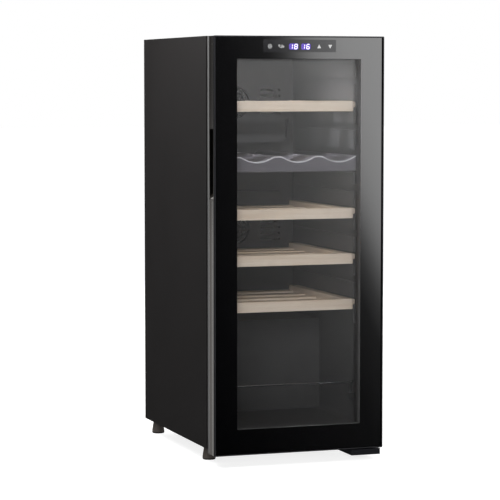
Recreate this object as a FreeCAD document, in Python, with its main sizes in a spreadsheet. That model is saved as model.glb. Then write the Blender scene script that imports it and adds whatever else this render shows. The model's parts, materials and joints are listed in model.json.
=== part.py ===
"""Free-standing dual-zone wine cooler with a glass door hung on its right side.

Millimetres. The origin is the centre of the footprint on the floor, +Z is up and the door faces -Y.
Depths are counted back from the door's glass face.
"""
import FreeCAD
import Part

import math
import operator
import os

import Sketcher

SIZES = {
    # cabinet
    "wide": 345, "deep": 466, "tall": 820, "skin": 0.8, "underside": 30, "rear_gap": 2,
    "flange": 14, "gap": 0.1, "base_sheet": 1.2, "rear_sheet": 1.2, "front_lip": 3, "rib_side": 80,
    "rib_wide": 12, "rib_low": 280, "rib_high": 770,
    # screws: head and shank radius, and their places
    "screw_head": 3.6, "screw_shank": 2, "screw_play": 0.2, "leg_screw_near": 29,
    "leg_screw_far": 46, "leg_screw_drop": 8.5, "plate_screw_in": 40, "plate_screw_out": 5,
    "plate_screw_front": 62, "plate_screw_rear": 88, "rear_screw_inset": 7, "rear_screw_low": 45,
    "rear_screw_pitch": 80,
    # liner and its cavity
    "cavity_wide": 284, "cavity_floor": 65, "cavity_top": 782, "cavity_back": 423, "liner_wall": 2,
    "cavity_round": 9, "step_rise": 250, "step_back": 266, "flange_thick": 2,
    # machine bay
    "bay_front": 296, "bay_top": 221, "bay_sheet": 1.2, "compressor_side": -78,
    "compressor_depth": 386, "can_radius": 52, "can_tall": 128, "mount_side": 58, "mount_front": 42,
    "mount_rear": 28, "mount_tall": 13, "plate_thick": 3, "condenser_side": 86,
    "condenser_depth": 318, "coil_low": 22, "coil_high": 150, "coil_half": 54, "coil_deep": 15,
    "fin_pitch": 6, "fin": 0.6, "end_plate": 1.5, "tube_radius": 3, "tube_pitch": 25,
    "tray_left": 2, "tray_right": 148, "tray_front": 366, "tray_rear": 424, "tray_tall": 20,
    "tray_lift": 2, "tray_wall": 1.8, "box_left": 4, "box_right": 150, "box_front": 372,
    "box_rear": 452, "box_tall": 34, "lid_tall": 24, "drier_side": -8, "drier_depth": 398,
    "drier_low": 34, "drier_radius": 9.5, "drier_tall": 92,
    # machine bay cover and cord entry
    "louvre_low": 70, "louvre_pitch": 11, "louvre_tall": 5, "louvre_wide": 38, "louvre_step": 50,
    "cord_side": -128, "cord_up": 48, "cord_radius": 3.5, "entry_radius": 8, "gland_radius": 10,
    # door
    "door_low": 22, "door_deep": 43.6, "seal_deep": 6.4, "pane": 4, "pane_gap": 12,
    "profile_deep": 28, "profile_wide": 34.5, "profile_wall": 1.8, "channel_radius": 36,
    "channel_deep": 1, "frame_wide": 39.5, "seal_wide": 12, "seal_inset": 15.5, "grip_low": 509,
    "grip_high": 646, "grip_deep": 16, "grip_front": 6, "grip_rear": 28, "unit_low": 60,
    # hinge
    "hinge_inset": 12.5, "hinge_depth": 20, "pin_radius": 4, "running_gap": 0.05, "leaf": 3,
    "top_arm": 9, "top_arm_drop": 12, "bottom_arm": 11, "bottom_arm_drop": 13, "crank_depth": 55,
    "plate_depth": 94, "plate_wide": 59, "hinge_leg": 50, "cover_deep": 96, "cover_tall": 11.4,
    "cover_drop": 21, "cover_long": 60.5,
    # shelves
    "shelf_pitch": 89, "lowest_shelf": 290, "strip_tall": 20.5, "strip_thick": 18,
    "strip_wide": 257, "strip_depth": 45, "shelf_deep": 336, "slat": 9, "slot_tall": 14,
    "slot_rise": 7.7, "slot_pitch": 44.5, "runner_thick": 11.5, "runner_web": 2.4,
    "runner_round": 4, "back_clear": 4, "tongue": 10.5, "tongue_rise": 8, "tongue_drop": 2.5,
    "rail": 11, "rail_drop": 2, "nib": 3, "nib_set": 7, "slat_wide": 30, "slat_start": 22,
    "zone_step": 30,
    # zone divider
    "divider_low": 560, "divider_high": 590, "trough_pitch": 84, "trough_radius": 58,
    "trough_deep": 10.5, "trough_shift": 15, "lamp_half": 99.5, "lamp_depth": 90.5,
    "lamp_wide": 13, "lamp_thick": 2.5,
    # air
    "fan_wide": 80, "fan_thick": 15, "fan_bore": 35, "fan_tip": 33, "fan_set": 30,
    "upper_fan": 690, "lower_fan": 428, "cover_wide": 220, "cover_thick": 36, "cover_wall": 2.5,
    "cover_above": 78, "cover_below": 82, "grille_pitch": 9.5, "grille_slot": 5.5, "spoke": 1.5,
    "outlet_side": 78, "outlet_half": 22, "outlet_pitch": 12, "outlet_tall": 4, "cold_half": 95,
    "cold_fin": 12, "boss_radius": 13, "shaft_radius": 1.5, "hub_radius": 14, "blade_wide": 13,
    "blade_thick": 1.2, "probe_side": 125, "probe_low": 350, "probe_high": 622, "probe_radius": 3.5,
    # wire guard
    "wire": 2, "guard_high": 146, "guard_low": 116, "guard_front": 54, "guard_back": 74,
    "guard_bend": 9, "guard_inset": 8, "lug_half": 6,
    # machine bay fan
    "bay_fan_wide": 92, "bay_fan_thick": 25, "bay_fan_bore": 42, "bay_fan_tip": 40,
    # feet
    "foot_radius": 12.8, "foot_side": 149, "foot_front": 106, "foot_rear": 448, "stud": 4,
    "stud_play": 0.4, "nut_round": 7.5, "nut_tall": 6.5, "nut_room": 10,
    # door electronics
    "key_drop": 19, "pad_radius": 5, "pad_bore": 3.4, "board_left": 81, "board_right": 79,
    "board_low": 29.5, "board_high": 4.5, "board_front": 7.7, "board_rear": 9.3,
}

doc = FreeCAD.newDocument("wine_cooler")
sheet = doc.addObject("Spreadsheet::Sheet", "Sizes")
sub_parts = []


class Size:
    """A length that remembers the spreadsheet expression it comes from."""

    def __init__(self, value, text):
        self.value = value
        self.text = text

    def __float__(self):
        return self.value

    def __neg__(self):
        return 0 - self

    def __add__(self, other):
        return combined(self, "+", other)

    def __radd__(self, other):
        return combined(other, "+", self)

    def __sub__(self, other):
        return combined(self, "-", other)

    def __rsub__(self, other):
        return combined(other, "-", self)

    def __mul__(self, other):
        return combined(self, "*", other)

    def __rmul__(self, other):
        return combined(other, "*", self)

    def __truediv__(self, other):
        return combined(self, "/", other)


def as_size(item):
    """A plain number becomes a size whose expression is that number."""
    return item if isinstance(item, Size) else Size(float(item), repr(float(item)))


def combined(left, sign, right):
    """Two sizes joined by + - * or /, as a value and as an expression."""
    work = {"+": operator.add, "-": operator.sub, "*": operator.mul, "/": operator.truediv}[sign]
    left, right = as_size(left), as_size(right)
    return Size(work(left.value, right.value), f"({left.text} {sign} {right.text})")


def fill_sheet():
    """Write every driving dimension to the sheet and give its cell an alias."""
    for row, (word, value) in enumerate(SIZES.items(), 1):
        sheet.set(f"A{row}", str(value))
        sheet.setAlias(f"A{row}", word)
    doc.recompute()


def cell(word):
    """The size kept in the sheet under this alias."""
    return Size(float(SIZES[word]), f"Sizes.{word}")


def bind(thing, **sizes):
    """Bind properties to expressions; a double underscore stands for a dot."""
    for name, size in sizes.items():
        thing.setExpression(name.replace("__", "."), as_size(size).text)


def place(thing, across, back, up):
    """Bind the position of an object."""
    bind(thing, Placement__Base__x=across, Placement__Base__y=back, Placement__Base__z=up)


def turned(thing, axis, degrees):
    """Turn an object about a direction through its own origin."""
    thing.Placement = FreeCAD.Placement(thing.Placement.Base, FreeCAD.Rotation(axis, degrees))
    return thing


# ---- the frame that every sub-part shares

fill_sheet()
X_AXIS, Y_AXIS, Z_AXIS = FreeCAD.Vector(1, 0, 0), FreeCAD.Vector(0, 1, 0), FreeCAD.Vector(0, 0, 1)
SIDE = cell("wide") / 2
TOP = cell("tall")
GAP = cell("gap")


def depth(distance):
    """The Y of a plane this far behind the door's glass face."""
    return distance - cell("deep") / 2


FACE = depth(cell("door_deep") + cell("seal_deep"))  # front plane of the cabinet
REAR = cell("deep") / 2 - cell("rear_gap")  # rear plane of the side panels
CAVITY = cell("cavity_wide") / 2
HINGE_X = SIDE - cell("hinge_inset")
HINGE_Y = depth(cell("hinge_depth"))


# ---- solids and booleans

def block(across, back, up):
    """A box between two planes in each direction, each given as (low, high)."""
    box = doc.addObject("Part::Box", "Block")
    bind(box, Length=across[1] - across[0], Width=back[1] - back[0], Height=up[1] - up[0])
    place(box, across[0], back[0], up[0])
    return box


def rod(radius, along, centre, axis="Z"):
    """A cylinder along an axis, from along[0] to along[1]; centre holds the other two places."""
    cylinder = doc.addObject("Part::Cylinder", "Rod")
    bind(cylinder, Radius=radius, Height=along[1] - along[0])
    first, second = centre
    if axis == "X":
        turned(cylinder, Y_AXIS, 90)
        place(cylinder, along[0], first, second)
    elif axis == "Y":
        turned(cylinder, X_AXIS, -90)
        place(cylinder, first, along[0], second)
    else:
        place(cylinder, first, second, along[0])
    return cylinder


def joined(*pieces):
    """Several solids fused, with coplanar faces merged."""
    fuse = doc.addObject("Part::MultiFuse", "Joined")
    fuse.Shapes = list(pieces)
    fuse.Refine = True
    return fuse


def group(*pieces):
    """Several solids kept separate in one object."""
    compound = doc.addObject("Part::Compound", "Group")
    compound.Links = list(pieces)
    return compound


def cut(base, *tools):
    """A solid with others taken away."""
    rest = doc.addObject("Part::Cut", "Cut")
    rest.Base = base
    rest.Tool = tools[0] if len(tools) == 1 else joined(*tools)
    rest.Refine = True
    return rest


def softened(body, base, radius, kind, wanted):
    """Fillet or chamfer those edges of a body's feature that wanted() picks."""
    doc.recompute()
    edges = [f"Edge{n}" for n, edge in enumerate(base.Shape.Edges, 1) if wanted(edge)]
    feature = body.newObject(f"PartDesign::{kind}", kind)
    feature.Base = (base, edges)
    bind(feature, **{"Radius" if kind == "Fillet" else "Size": radius})
    body.Tip = feature
    return feature


def runs_along(edge, axis):
    """Whether an edge is straight and parallel to an axis."""
    return edge.Curve.TypeId == "Part::GeomLine" and abs(abs(edge.tangentAt(0).dot(axis)) - 1) < 1e-6


def rounded_block(across, back, up, radius, axes, kind="Fillet"):
    """A box as a body, with the edges parallel to the given axes rounded or chamfered."""
    body = doc.addObject("PartDesign::Body", "RoundedBlock")
    box = body.newObject("PartDesign::AdditiveBox", "Box")
    bind(box, Length=across[1] - across[0], Width=back[1] - back[0], Height=up[1] - up[0])
    place(box, across[0], back[0], up[0])
    softened(body, box, radius, kind, lambda edge: any(runs_along(edge, axis) for axis in axes))
    return body


def outline(body, corners):
    """A closed sketch on the body's XZ plane, with every corner held by a dimension."""
    plane = next(item for item in body.Origin.OriginFeatures if item.Role == "XZ_Plane")
    drawn = body.newObject("Sketcher::SketchObject", "Outline")
    drawn.AttachmentSupport = (plane, [""])
    drawn.MapMode = "FlatFace"
    ends = [FreeCAD.Vector(float(first), float(second), 0) for first, second in corners]
    for start, end in zip(ends, ends[1:] + ends[:1]):
        drawn.addGeometry(Part.LineSegment(start, end))
    for n, corner in enumerate(corners):
        drawn.addConstraint(Sketcher.Constraint("Coincident", n, 2, (n + 1) % len(corners), 1))
        for kind, size in zip(("DistanceX", "DistanceY"), corner):
            index = drawn.addConstraint(Sketcher.Constraint(kind, -1, 1, n, 1, float(size)))
            drawn.setExpression(f"Constraints[{index}]", as_size(size).text)
    return drawn


def revolved(corners):
    """A body made by turning an outline of (radius, height) about +Z."""
    body = doc.addObject("PartDesign::Body", "Revolved")
    turn = body.newObject("PartDesign::Revolution", "Revolution")
    sketch = outline(body, corners)
    turn.Profile = sketch
    turn.ReferenceAxis = (sketch, ["V_Axis"])
    turn.Angle = 360
    body.Tip = turn
    return body


def ring(outer, up, width, back):
    """A rectangular frame about X = 0: outer half width, (low, high), bar width, (front, rear)."""
    inner = outer - width
    hole_back = (back[0] - 1, back[1] + 1)
    return cut(block((-outer, outer), back, up),
               block((-inner, inner), hole_back, (up[0] + width, up[1] - width)))


def shell(across, back, up, wall, open_sides):
    """A box hollowed to a wall; open_sides names walls left out, such as 'back' or 'low'."""
    def inside(span, low, high):
        start = span[0] - 1 if low in open_sides else span[0] + wall
        end = span[1] + 1 if high in open_sides else span[1] - wall
        return start, end
    hollow = block(inside(across, "left", "right"), inside(back, "front", "back"),
                   inside(up, "low", "high"))
    return cut(block(across, back, up), hollow)


def wire_path(points, bend):
    """Straight runs through points, joined by tangent arcs of one radius."""
    edges = []
    start = points[0]
    for before, corner, after in zip(points, points[1:], points[2:]):
        arriving = (corner - before).normalize()
        leaving = (after - corner).normalize()
        half_turn = arriving.getAngle(leaving) / 2
        trim = bend * math.tan(half_turn)
        inward = (leaving - arriving).normalize()
        middle = corner + inward * (bend / math.cos(half_turn) - bend)
        first, last = corner - arriving * trim, corner + leaving * trim
        edges.append(Part.LineSegment(start, first).toShape())
        edges.append(Part.Arc(first, middle, last).toShape())
        start = last
    edges.append(Part.LineSegment(start, points[-1]).toShape())
    return Part.Wire(edges)


def bent_rod(points, radius, bend):
    """A round bar or tube bent along straight runs and arcs."""
    places = [FreeCAD.Vector(*(float(size) for size in point)) for point in points]
    path = wire_path(places, float(bend))
    end = Part.Circle(places[0], places[1] - places[0], float(radius)).toShape()
    bar = doc.addObject("Part::Feature", "BentRod")
    bar.Shape = path.makePipeShell([Part.Wire(end)], True, False)
    bar.Placement = FreeCAD.Placement()
    return bar


def sub_part(name, thing):
    """Name a finished sub-part."""
    thing.Label = name
    sub_parts.append(thing)
    return thing


def both_sides(name, right_half):
    """Two sub-parts, one the mirror image of the other: name_right and name_left."""
    mirror = doc.addObject("Part::Mirroring", "Mirror")
    mirror.Source = right_half
    mirror.Normal = X_AXIS
    sub_part(f"{name}_right", right_half)
    sub_part(f"{name}_left", mirror)


# ---- screws: one set of shanks drills every plate that the screws hold

def screws(places, axis, head, shank):
    """Pan-head screws at places, and the drill that clears them; head and shank span the axis."""
    made = []
    drills = []
    for place_now in places:
        made.append(joined(rod(cell("screw_head"), head, place_now, axis),
                           rod(cell("screw_shank"), shank, place_now, axis)))
        drills.append(rod(cell("screw_shank") + cell("screw_play"), shank, place_now, axis))
    return group(*made), group(*drills)


FOOT_PLACES = [(side, depth(cell(row))) for side in (-cell("foot_side"), cell("foot_side"))
               for row in ("foot_front", "foot_rear")]
BAY_FRONT = depth(cell("bay_front"))
COVER_SPAN = (REAR, REAR + cell("rear_sheet"))


def hinge_screws():
    """Two screws in the top bracket's leg and three under the bottom bracket."""
    leg_up = TOP - cell("leg_screw_drop")
    leg_places = [(SIDE - cell("leg_screw_far"), leg_up), (SIDE - cell("leg_screw_near"), leg_up)]
    top, top_drill = screws(leg_places, "Y", (FACE - 4.4, FACE - 2.4), (FACE - 3, FACE + 9))
    inner, outer = HINGE_X - cell("plate_screw_in"), HINGE_X + cell("plate_screw_out")
    near, far = depth(cell("plate_screw_front")), depth(cell("plate_screw_rear"))
    plate_places = [(inner, near), (inner, far), (outer, near)]
    low = cell("underside")
    under, under_drill = screws(plate_places, "Z", (low - 5, low - 3), (low - 4, low + 7))
    return group(top, under), group(top_drill, under_drill)


def rear_screws():
    """Six screws around the rear cover."""
    half = SIDE - cell("rear_screw_inset")
    places = [(side, cell("rear_screw_low") + cell("rear_screw_pitch") * n)
              for side in (-half, half) for n in (0, 1, 2)]
    return screws(places, "Y", (COVER_SPAN[1], REAR + cell("rear_gap")), (REAR - 6, COVER_SPAN[1] + 0.4))


# ---- outer cabinet

def side_panels(hinge_drill, rear_drill):
    """Painted steel side sheets, folded in at the front, the rear and the bottom."""
    skin = cell("skin")
    inner = SIDE - cell("flange")
    sheet_out = block((inner, SIDE), (FACE, REAR), (cell("underside"), TOP))
    hollow = block((inner - 1, SIDE - skin), (FACE + skin, REAR - skin),
                   (cell("underside") + skin, TOP + 1))
    right = cut(sheet_out, hollow)
    mirror = doc.addObject("Part::Mirroring", "Mirror")
    mirror.Source = right
    mirror.Normal = X_AXIS
    sub_part("side_panel_right", cut(right, group(hinge_drill, rear_drill)))
    sub_part("side_panel_left", cut(mirror, rear_drill))


def top_panel():
    """Painted steel top, lipped down inside the side sheets."""
    skin = cell("skin")
    inner = SIDE - skin - GAP
    clear_front = FACE + skin + GAP
    plate = block((-inner, inner), (clear_front, REAR - skin - GAP),
                  (TOP - cell("flange"), TOP))
    hollow = block((-inner + skin, inner - skin), (clear_front - 1, REAR + 1),
                   (TOP - cell("flange") - 1, TOP - skin))
    front_lip = block((-SIDE + cell("flange") + GAP, SIDE - cell("flange") - GAP),
                      (FACE, clear_front), (TOP - cell("front_lip"), TOP))
    sub_part("top_panel", joined(cut(plate, hollow), front_lip))


def back_panel():
    """Flat steel back above the machine bay, with two pressed stiffening ribs."""
    half = SIDE - 0.5
    sheet_flat = block((-half, half), (REAR + GAP, REAR + 1), (cell("bay_top") + 0.5, TOP - 0.5))
    side, half_rib = cell("rib_side"), cell("rib_wide") / 2
    ribs = [block((middle - half_rib, middle + half_rib), (REAR + 0.9, REAR + cell("rear_gap")),
                  (cell("rib_low"), cell("rib_high"))) for middle in (-side, side)]
    sub_part("back_panel", joined(sheet_flat, *ribs))


def base_plate(hinge_drill):
    """Steel floor of the cabinet, carrying the feet and the compressor."""
    low = cell("underside") + cell("skin") + GAP
    half = SIDE - cell("skin") - GAP
    span = (low, low + cell("base_sheet"))
    front = FACE + cell("flange_thick") + GAP
    plate = block((-half, half), (front, REAR - cell("skin") - GAP), span)
    bore = cell("stud") + cell("stud_play")
    holes = [rod(bore, (low - 1, low + 3), place_now) for place_now in FOOT_PLACES]
    sub_part("base_plate", cut(plate, hinge_drill, *holes))


def foot_nuts():
    """Hexagonal weld nuts on the base plate, one over each foot."""
    low = cell("underside") + cell("skin") + GAP + cell("base_sheet")
    nuts = []
    for place_now in FOOT_PLACES:
        nut = doc.addObject("Part::Prism", "Nut")
        nut.Polygon = 6
        bind(nut, Circumradius=cell("nut_round"), Height=cell("nut_tall"))
        place(nut, place_now[0], place_now[1], low)
        bore = rod(cell("stud") + cell("running_gap"), (low - 1, low + 8), place_now)
        nuts.append(cut(nut, bore))
    sub_part("foot_nuts", group(*nuts))


# ---- insulation and liner

def liner_form(half, grow):
    """The cavity's form with its rear step, grown outwards by a wall."""
    back = depth(cell("cavity_back")) + grow
    step = cell("step_rise") - grow
    round_off = cell("cavity_round") + grow
    front = FACE - 1 if float(grow) == 0 else FACE
    upper = rounded_block((-half, half), (front, back), (step, cell("cavity_top") + grow), round_off,
                          [Y_AXIS])
    lower = rounded_block((-half, half), (front, depth(cell("step_back")) + grow),
                          (cell("cavity_floor") - grow, step + 60), round_off, [Y_AXIS])
    square = block((-half, half), (front, depth(cell("step_back")) + grow), (step, step + 40))
    return joined(upper, lower, square)


def inner_liner(hinge_drill):
    """Vacuum-formed liner: a stepped cavity with a flat front flange."""
    wall = cell("liner_wall")
    flange_half = SIDE - cell("flange") - GAP
    flange = block((-flange_half, flange_half), (FACE, FACE + cell("flange_thick")),
                   (cell("underside") + cell("skin") + GAP, TOP - cell("front_lip") - GAP))
    form = joined(liner_form(CAVITY + wall, wall), flange)
    sub_part("inner_liner", cut(form, liner_form(CAVITY, 0), hinge_drill))


def foam_insulation(hinge_drill, rear_drill):
    """Foamed filling between the liner and the outer sheets."""
    skin = cell("skin") + GAP
    low = cell("underside") + skin + cell("base_sheet") + GAP
    half = SIDE - skin - cell("skin") - GAP
    front = FACE + cell("flange_thick") + GAP
    filling = block((-half, half), (front, REAR - skin), (low, TOP - cell("skin") - GAP))
    bay = block((-half - 1, half + 1), (BAY_FRONT - GAP, REAR + 1),
                (low - 1, cell("bay_top") + cell("bay_sheet") + GAP))
    nut_room = [rod(cell("nut_room"), (low - 1, low + 16), place_now) for place_now in FOOT_PLACES]
    liner = liner_form(CAVITY + cell("liner_wall") + GAP, cell("liner_wall") + GAP)
    front_gap = block((-CAVITY, CAVITY), (FACE, front), (low, TOP))
    sub_part("foam_insulation", cut(filling, liner, front_gap, bay, hinge_drill, rear_drill,
                                    *nut_room))


# ---- shelves, runners and the zone divider

def shelf_levels():
    """Undersides of the four shelves: three in the lower zone and one in the upper."""
    lowest = cell("lowest_shelf")
    pitch = cell("shelf_pitch")
    return [lowest + pitch * 4 + cell("zone_step"), lowest + pitch * 2, lowest + pitch, lowest]


def runner(low, high, slots):
    """A moulded wall strip whose bars leave slots for the shelf tongues."""
    plate_in = CAVITY - cell("runner_thick")
    span = (FACE + 2, depth(cell("cavity_back") - cell("cover_thick") - cell("back_clear")))
    body = rounded_block((plate_in, CAVITY - GAP), span, (low, high), cell("runner_round"), [Z_AXIS])
    room = [block((plate_in - 1, CAVITY - cell("runner_web")), (span[0] - 1, span[1] + 1),
                  (slot, slot + cell("slot_tall"))) for slot in slots]
    return cut(body, *room)


def shelf_runners():
    """Runners of both zones on both walls, one sub-part a side."""
    levels = shelf_levels()
    pitch = cell("slot_pitch")
    low_slot = levels[3] + cell("slot_rise")
    lower = runner(low_slot - pitch + 10, cell("divider_low") - 4,
                   [low_slot + pitch * n for n in range(6)])
    high_slot = levels[0] + cell("slot_rise")
    upper = runner(cell("divider_high") + 12, cell("cavity_top") - 8,
                   [high_slot + pitch * n for n in (-1, 0, 1)])
    both_sides("shelf_runner", group(lower, upper))


def shelf(name, low):
    """A slatted beech shelf.

    The front strip has round ends and a nib at each side; the rails carry tongues; slats lie low.
    """
    half = cell("strip_wide") / 2
    rail_in, tongue_out, nib_out = half - cell("rail"), half + cell("tongue"), half + cell("nib")
    front = depth(cell("strip_depth"))
    rear = front + cell("strip_thick")
    back = front + cell("shelf_deep")
    high = low + cell("strip_tall")
    tongue_up = (low + cell("tongue_rise"), high - cell("tongue_drop"))
    bar = rounded_block((-half, half), (front, rear), (low, high), 5, [Z_AXIS])
    nibs = block((-nib_out, nib_out), (front + cell("nib_set"), rear), tongue_up)
    strip = joined(bar, nibs)
    rails = []
    for sign in (-1, 1):
        side = sorted((sign * rail_in, sign * half), key=float)
        lip = sorted((sign * half, sign * tongue_out), key=float)
        rails.append(joined(block(side, (rear, back), (low, high - cell("rail_drop"))),
                            block(lip, (rear + 1, back), tongue_up)))
    slats = []
    slat_wide = cell("slat_wide")
    first = rear + cell("slat_start")
    for n in range(5):
        start = first + n * (back - first - slat_wide) / 4
        slats.append(block((-rail_in, rail_in), (start, start + slat_wide),
                           (low + 0.5, low + cell("slat"))))
    sub_part(name, group(strip, *rails, *slats))


LAMP_HALF = cell("lamp_half")
LAMP_BACK = (depth(cell("lamp_depth")), depth(cell("lamp_depth") + cell("lamp_wide")))
LAMP_TOPS = (cell("cavity_top") - 0.2, cell("divider_low") + 4.8)


def zone_divider():
    """Insulated shelf between the zones, scalloped to cradle three bottles right of its middle."""
    half = CAVITY - 1
    back = depth(cell("cavity_back") - cell("cover_thick") - cell("back_clear"))
    crest = cell("divider_high")
    body = rounded_block((-half, half), (FACE - 1, back), (cell("divider_low"), crest), 3, [X_AXIS])
    middle_up = crest - cell("trough_deep") + cell("trough_radius")
    troughs = [rod(cell("trough_radius"), (FACE - 2, back + 1),
                   (cell("trough_shift") + cell("trough_pitch") * n, middle_up), "Y")
               for n in (-1, 0, 1)]
    lamp_room = block((-LAMP_HALF - 0.5, LAMP_HALF + 0.5), (LAMP_BACK[0] - 0.5, LAMP_BACK[1] + 0.5),
                      (cell("divider_low") - 1, LAMP_TOPS[1] + GAP))
    sub_part("zone_divider", cut(body, lamp_room, *troughs))


def led_bars():
    """A light bar in each zone's ceiling."""
    bars = [block((-LAMP_HALF, LAMP_HALF), LAMP_BACK, (top - cell("lamp_thick"), top))
            for top in LAMP_TOPS]
    sub_part("led_bars", group(*bars))


# ---- wire guard

def bottle_guard():
    """Chrome wire rail across the bottom compartment, held at both walls."""
    half = CAVITY - cell("guard_inset")
    front = depth(cell("guard_front"))
    back = depth(cell("guard_back"))
    high, low = cell("guard_high"), cell("guard_low")
    corners = [(-half, back, low), (-half, back, high), (-half, front, high), (half, front, high),
               (half, back, high), (half, back, low)]
    sub_part("bottle_guard", bent_rod(corners, cell("wire"), cell("guard_bend")))


def guard_lugs():
    """Two moulded sockets on the liner walls that hold the wire's ends."""
    half = CAVITY - cell("guard_inset")
    back, reach = depth(cell("guard_back")), cell("lug_half")
    lugs = []
    for sign in (-1, 1):
        span = sorted((sign * (half - 5), sign * (CAVITY - GAP)), key=float)
        lug = rounded_block(span, (back - reach, back + reach),
                            (cell("guard_low") - reach - 2, cell("guard_low") + reach), 2, [Y_AXIS])
        lugs.append(cut(lug, rod(cell("wire"), (cell("guard_low"), cell("guard_high")),
                                 (sign * half, back))))
    sub_part("guard_lugs", group(*lugs))


# ---- cold air: evaporators, covers, fans and probes

ZONE_FANS = {"upper": cell("upper_fan"), "lower": cell("lower_fan")}
COLD_BACK = depth(cell("cavity_back"))


def duct_cover(name, middle):
    """Moulded cover on the back wall with a round fan grille and outlet slots."""
    half = cell("cover_wide") / 2
    front = COLD_BACK - cell("cover_thick")
    wall = cell("cover_wall")
    low, high = middle - cell("cover_below"), middle + cell("cover_above")
    body = rounded_block((-half, half), (front, COLD_BACK - GAP), (low, high), 8, [Y_AXIS])
    hollow = block((-half + wall, half - wall), (front + wall, COLD_BACK + 1),
                   (low + wall, high - wall))
    rings = []
    for n in (1, 2, 3):
        reach = cell("grille_pitch") * n + 4
        outer = rod(reach, (front - 1, front + 3), (0, middle), "Y")
        inner = rod(reach - cell("grille_slot"), (front - 2, front + 4), (0, middle), "Y")
        rings.append(cut(outer, inner))
    spoke, arm, through = cell("spoke"), cell("fan_wide") / 2, (front - 3, front + 5)
    spokes = joined(block((-spoke, spoke), through, (middle - arm, middle + arm)),
                    block((-arm, arm), through, (middle - spoke, middle + spoke)))
    outlet = cell("outlet_half")
    slots = []
    for side in (-cell("outlet_side"), cell("outlet_side")):
        for n in (-2, -1, 0, 1, 2):
            start = middle + cell("outlet_pitch") * n
            slots.append(block((side - outlet, side + outlet), (front - 1, front + 3),
                               (start, start + cell("outlet_tall"))))
    sub_part(name, cut(body, hollow, cut(joined(*rings), spokes), *slots))


def fan_frame(across, back, up, wide, thick, bore):
    """A square fan housing with a motor boss on four arms and a steel shaft."""
    half = wide / 2
    case = rounded_block((across - half, across + half), (back, back + thick), (up - half, up + half),
                         4, [Y_AXIS])
    duct = cut(case, rod(bore, (back - 1, back + thick + 1), (across, up), "Y"))
    reach = bore + 1
    arms = [block((across - reach, across + reach), (back + thick - 4, back + thick), (up - 2, up + 2)),
            block((across - 2, across + 2), (back + thick - 4, back + thick), (up - reach, up + reach))]
    boss = rod(cell("boss_radius"), (back + thick - 5, back + thick), (across, up), "Y")
    shaft = rod(cell("shaft_radius"), (back + 3, back + thick - 4), (across, up), "Y")
    return joined(duct, boss, shaft, *arms)


def fan_rotor(across, back, up, thick, tip):
    """A seven-blade impeller on a cup hub with a shaft bore."""
    hub = cell("hub_radius")
    front, rear = 1.2, thick - 5.6
    body = doc.addObject("PartDesign::Body", "Rotor")
    turn = body.newObject("PartDesign::Revolution", "Hub")
    bore = cell("shaft_radius") + cell("running_gap")
    turn.Profile = outline(body, [(bore, front + 1.6), (hub, front), (hub, rear), (hub - 2, rear),
                                  (hub - 2, front + 3), (4, front + 3), (4, rear - 1),
                                  (bore, rear - 1)])
    turn.ReferenceAxis = (turn.Profile[0], ["V_Axis"])
    turn.Angle = 360
    doc.recompute()
    blade = body.newObject("PartDesign::AdditiveBox", "Blade")
    blade.Placement.Rotation = FreeCAD.Rotation(X_AXIS, 28)
    bind(blade, Length=tip - hub + 1, Width=cell("blade_wide"), Height=cell("blade_thick"))
    place(blade, hub - 1, -cell("blade_wide") / 2, front + 0.6)
    doc.recompute()
    spread = body.newObject("PartDesign::PolarPattern", "Blades")
    spread.Originals = [blade]
    axis = next(item for item in body.Origin.OriginFeatures if item.Role == "Z_Axis")
    spread.Axis = (axis, [""])
    spread.Angle = 360
    spread.Occurrences = 7
    body.Tip = spread
    turned(body, X_AXIS, -90)
    place(body, across, back, up)
    return body


def cold_air():
    """Evaporator, cover, fan frame and rotor of each zone."""
    frames, plates = [], []
    fan_back = COLD_BACK - cell("fan_set")
    half = cell("cold_half")
    for zone, middle in ZONE_FANS.items():
        duct_cover(f"duct_cover_{zone}", middle)
        frames.append(fan_frame(0, fan_back, middle, cell("fan_wide"), cell("fan_thick"),
                                cell("fan_bore")))
        sub_part(f"fan_rotor_{zone}", fan_rotor(0, fan_back, middle, cell("fan_thick"),
                                                cell("fan_tip")))
        fins = []
        for n in range(-5, 6):
            up = middle + cell("cold_fin") * n
            fins.append(block((-half, half), (COLD_BACK - 12, COLD_BACK - 3.5), (up - 0.5, up + 0.5)))
        plate = block((-half, half), (COLD_BACK - 3.5, COLD_BACK - 0.5), (middle - 70, middle + 68))
        plates.append(joined(plate, *fins))
    sub_part("fan_frames", group(*frames))
    sub_part("evaporators", group(*plates))


def temperature_probes():
    """A clipped probe bulb on the back wall of each zone."""
    probes = []
    side = cell("probe_side")
    for low in (cell("probe_high"), cell("probe_low")):
        holder = block((side - 6, side + 6), (COLD_BACK - 6, COLD_BACK - GAP), (low, low + 26))
        bulb = rod(cell("probe_radius"), (low - 6, low + 34), (side, COLD_BACK - 9.5))
        probes.append(joined(cut(holder, bulb), bulb))
    sub_part("temperature_probes", group(*probes))


# ---- machine bay

FLOOR = cell("underside") + cell("skin") + GAP + cell("base_sheet")


def bay_wall():
    """Bent steel bulkhead between the machine bay and the foam."""
    half = SIDE - cell("skin") * 2 - 0.5
    thick = cell("bay_sheet")
    back = REAR - cell("skin") - 2 * GAP
    upright = block((-half, half), (BAY_FRONT, BAY_FRONT + thick), (FLOOR, cell("bay_top")))
    roof = block((-half, half), (BAY_FRONT, back), (cell("bay_top"), cell("bay_top") + thick))
    sub_part("bay_wall", joined(upright, roof))


COMPRESSOR = (cell("compressor_side"), depth(cell("compressor_depth")))


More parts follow.
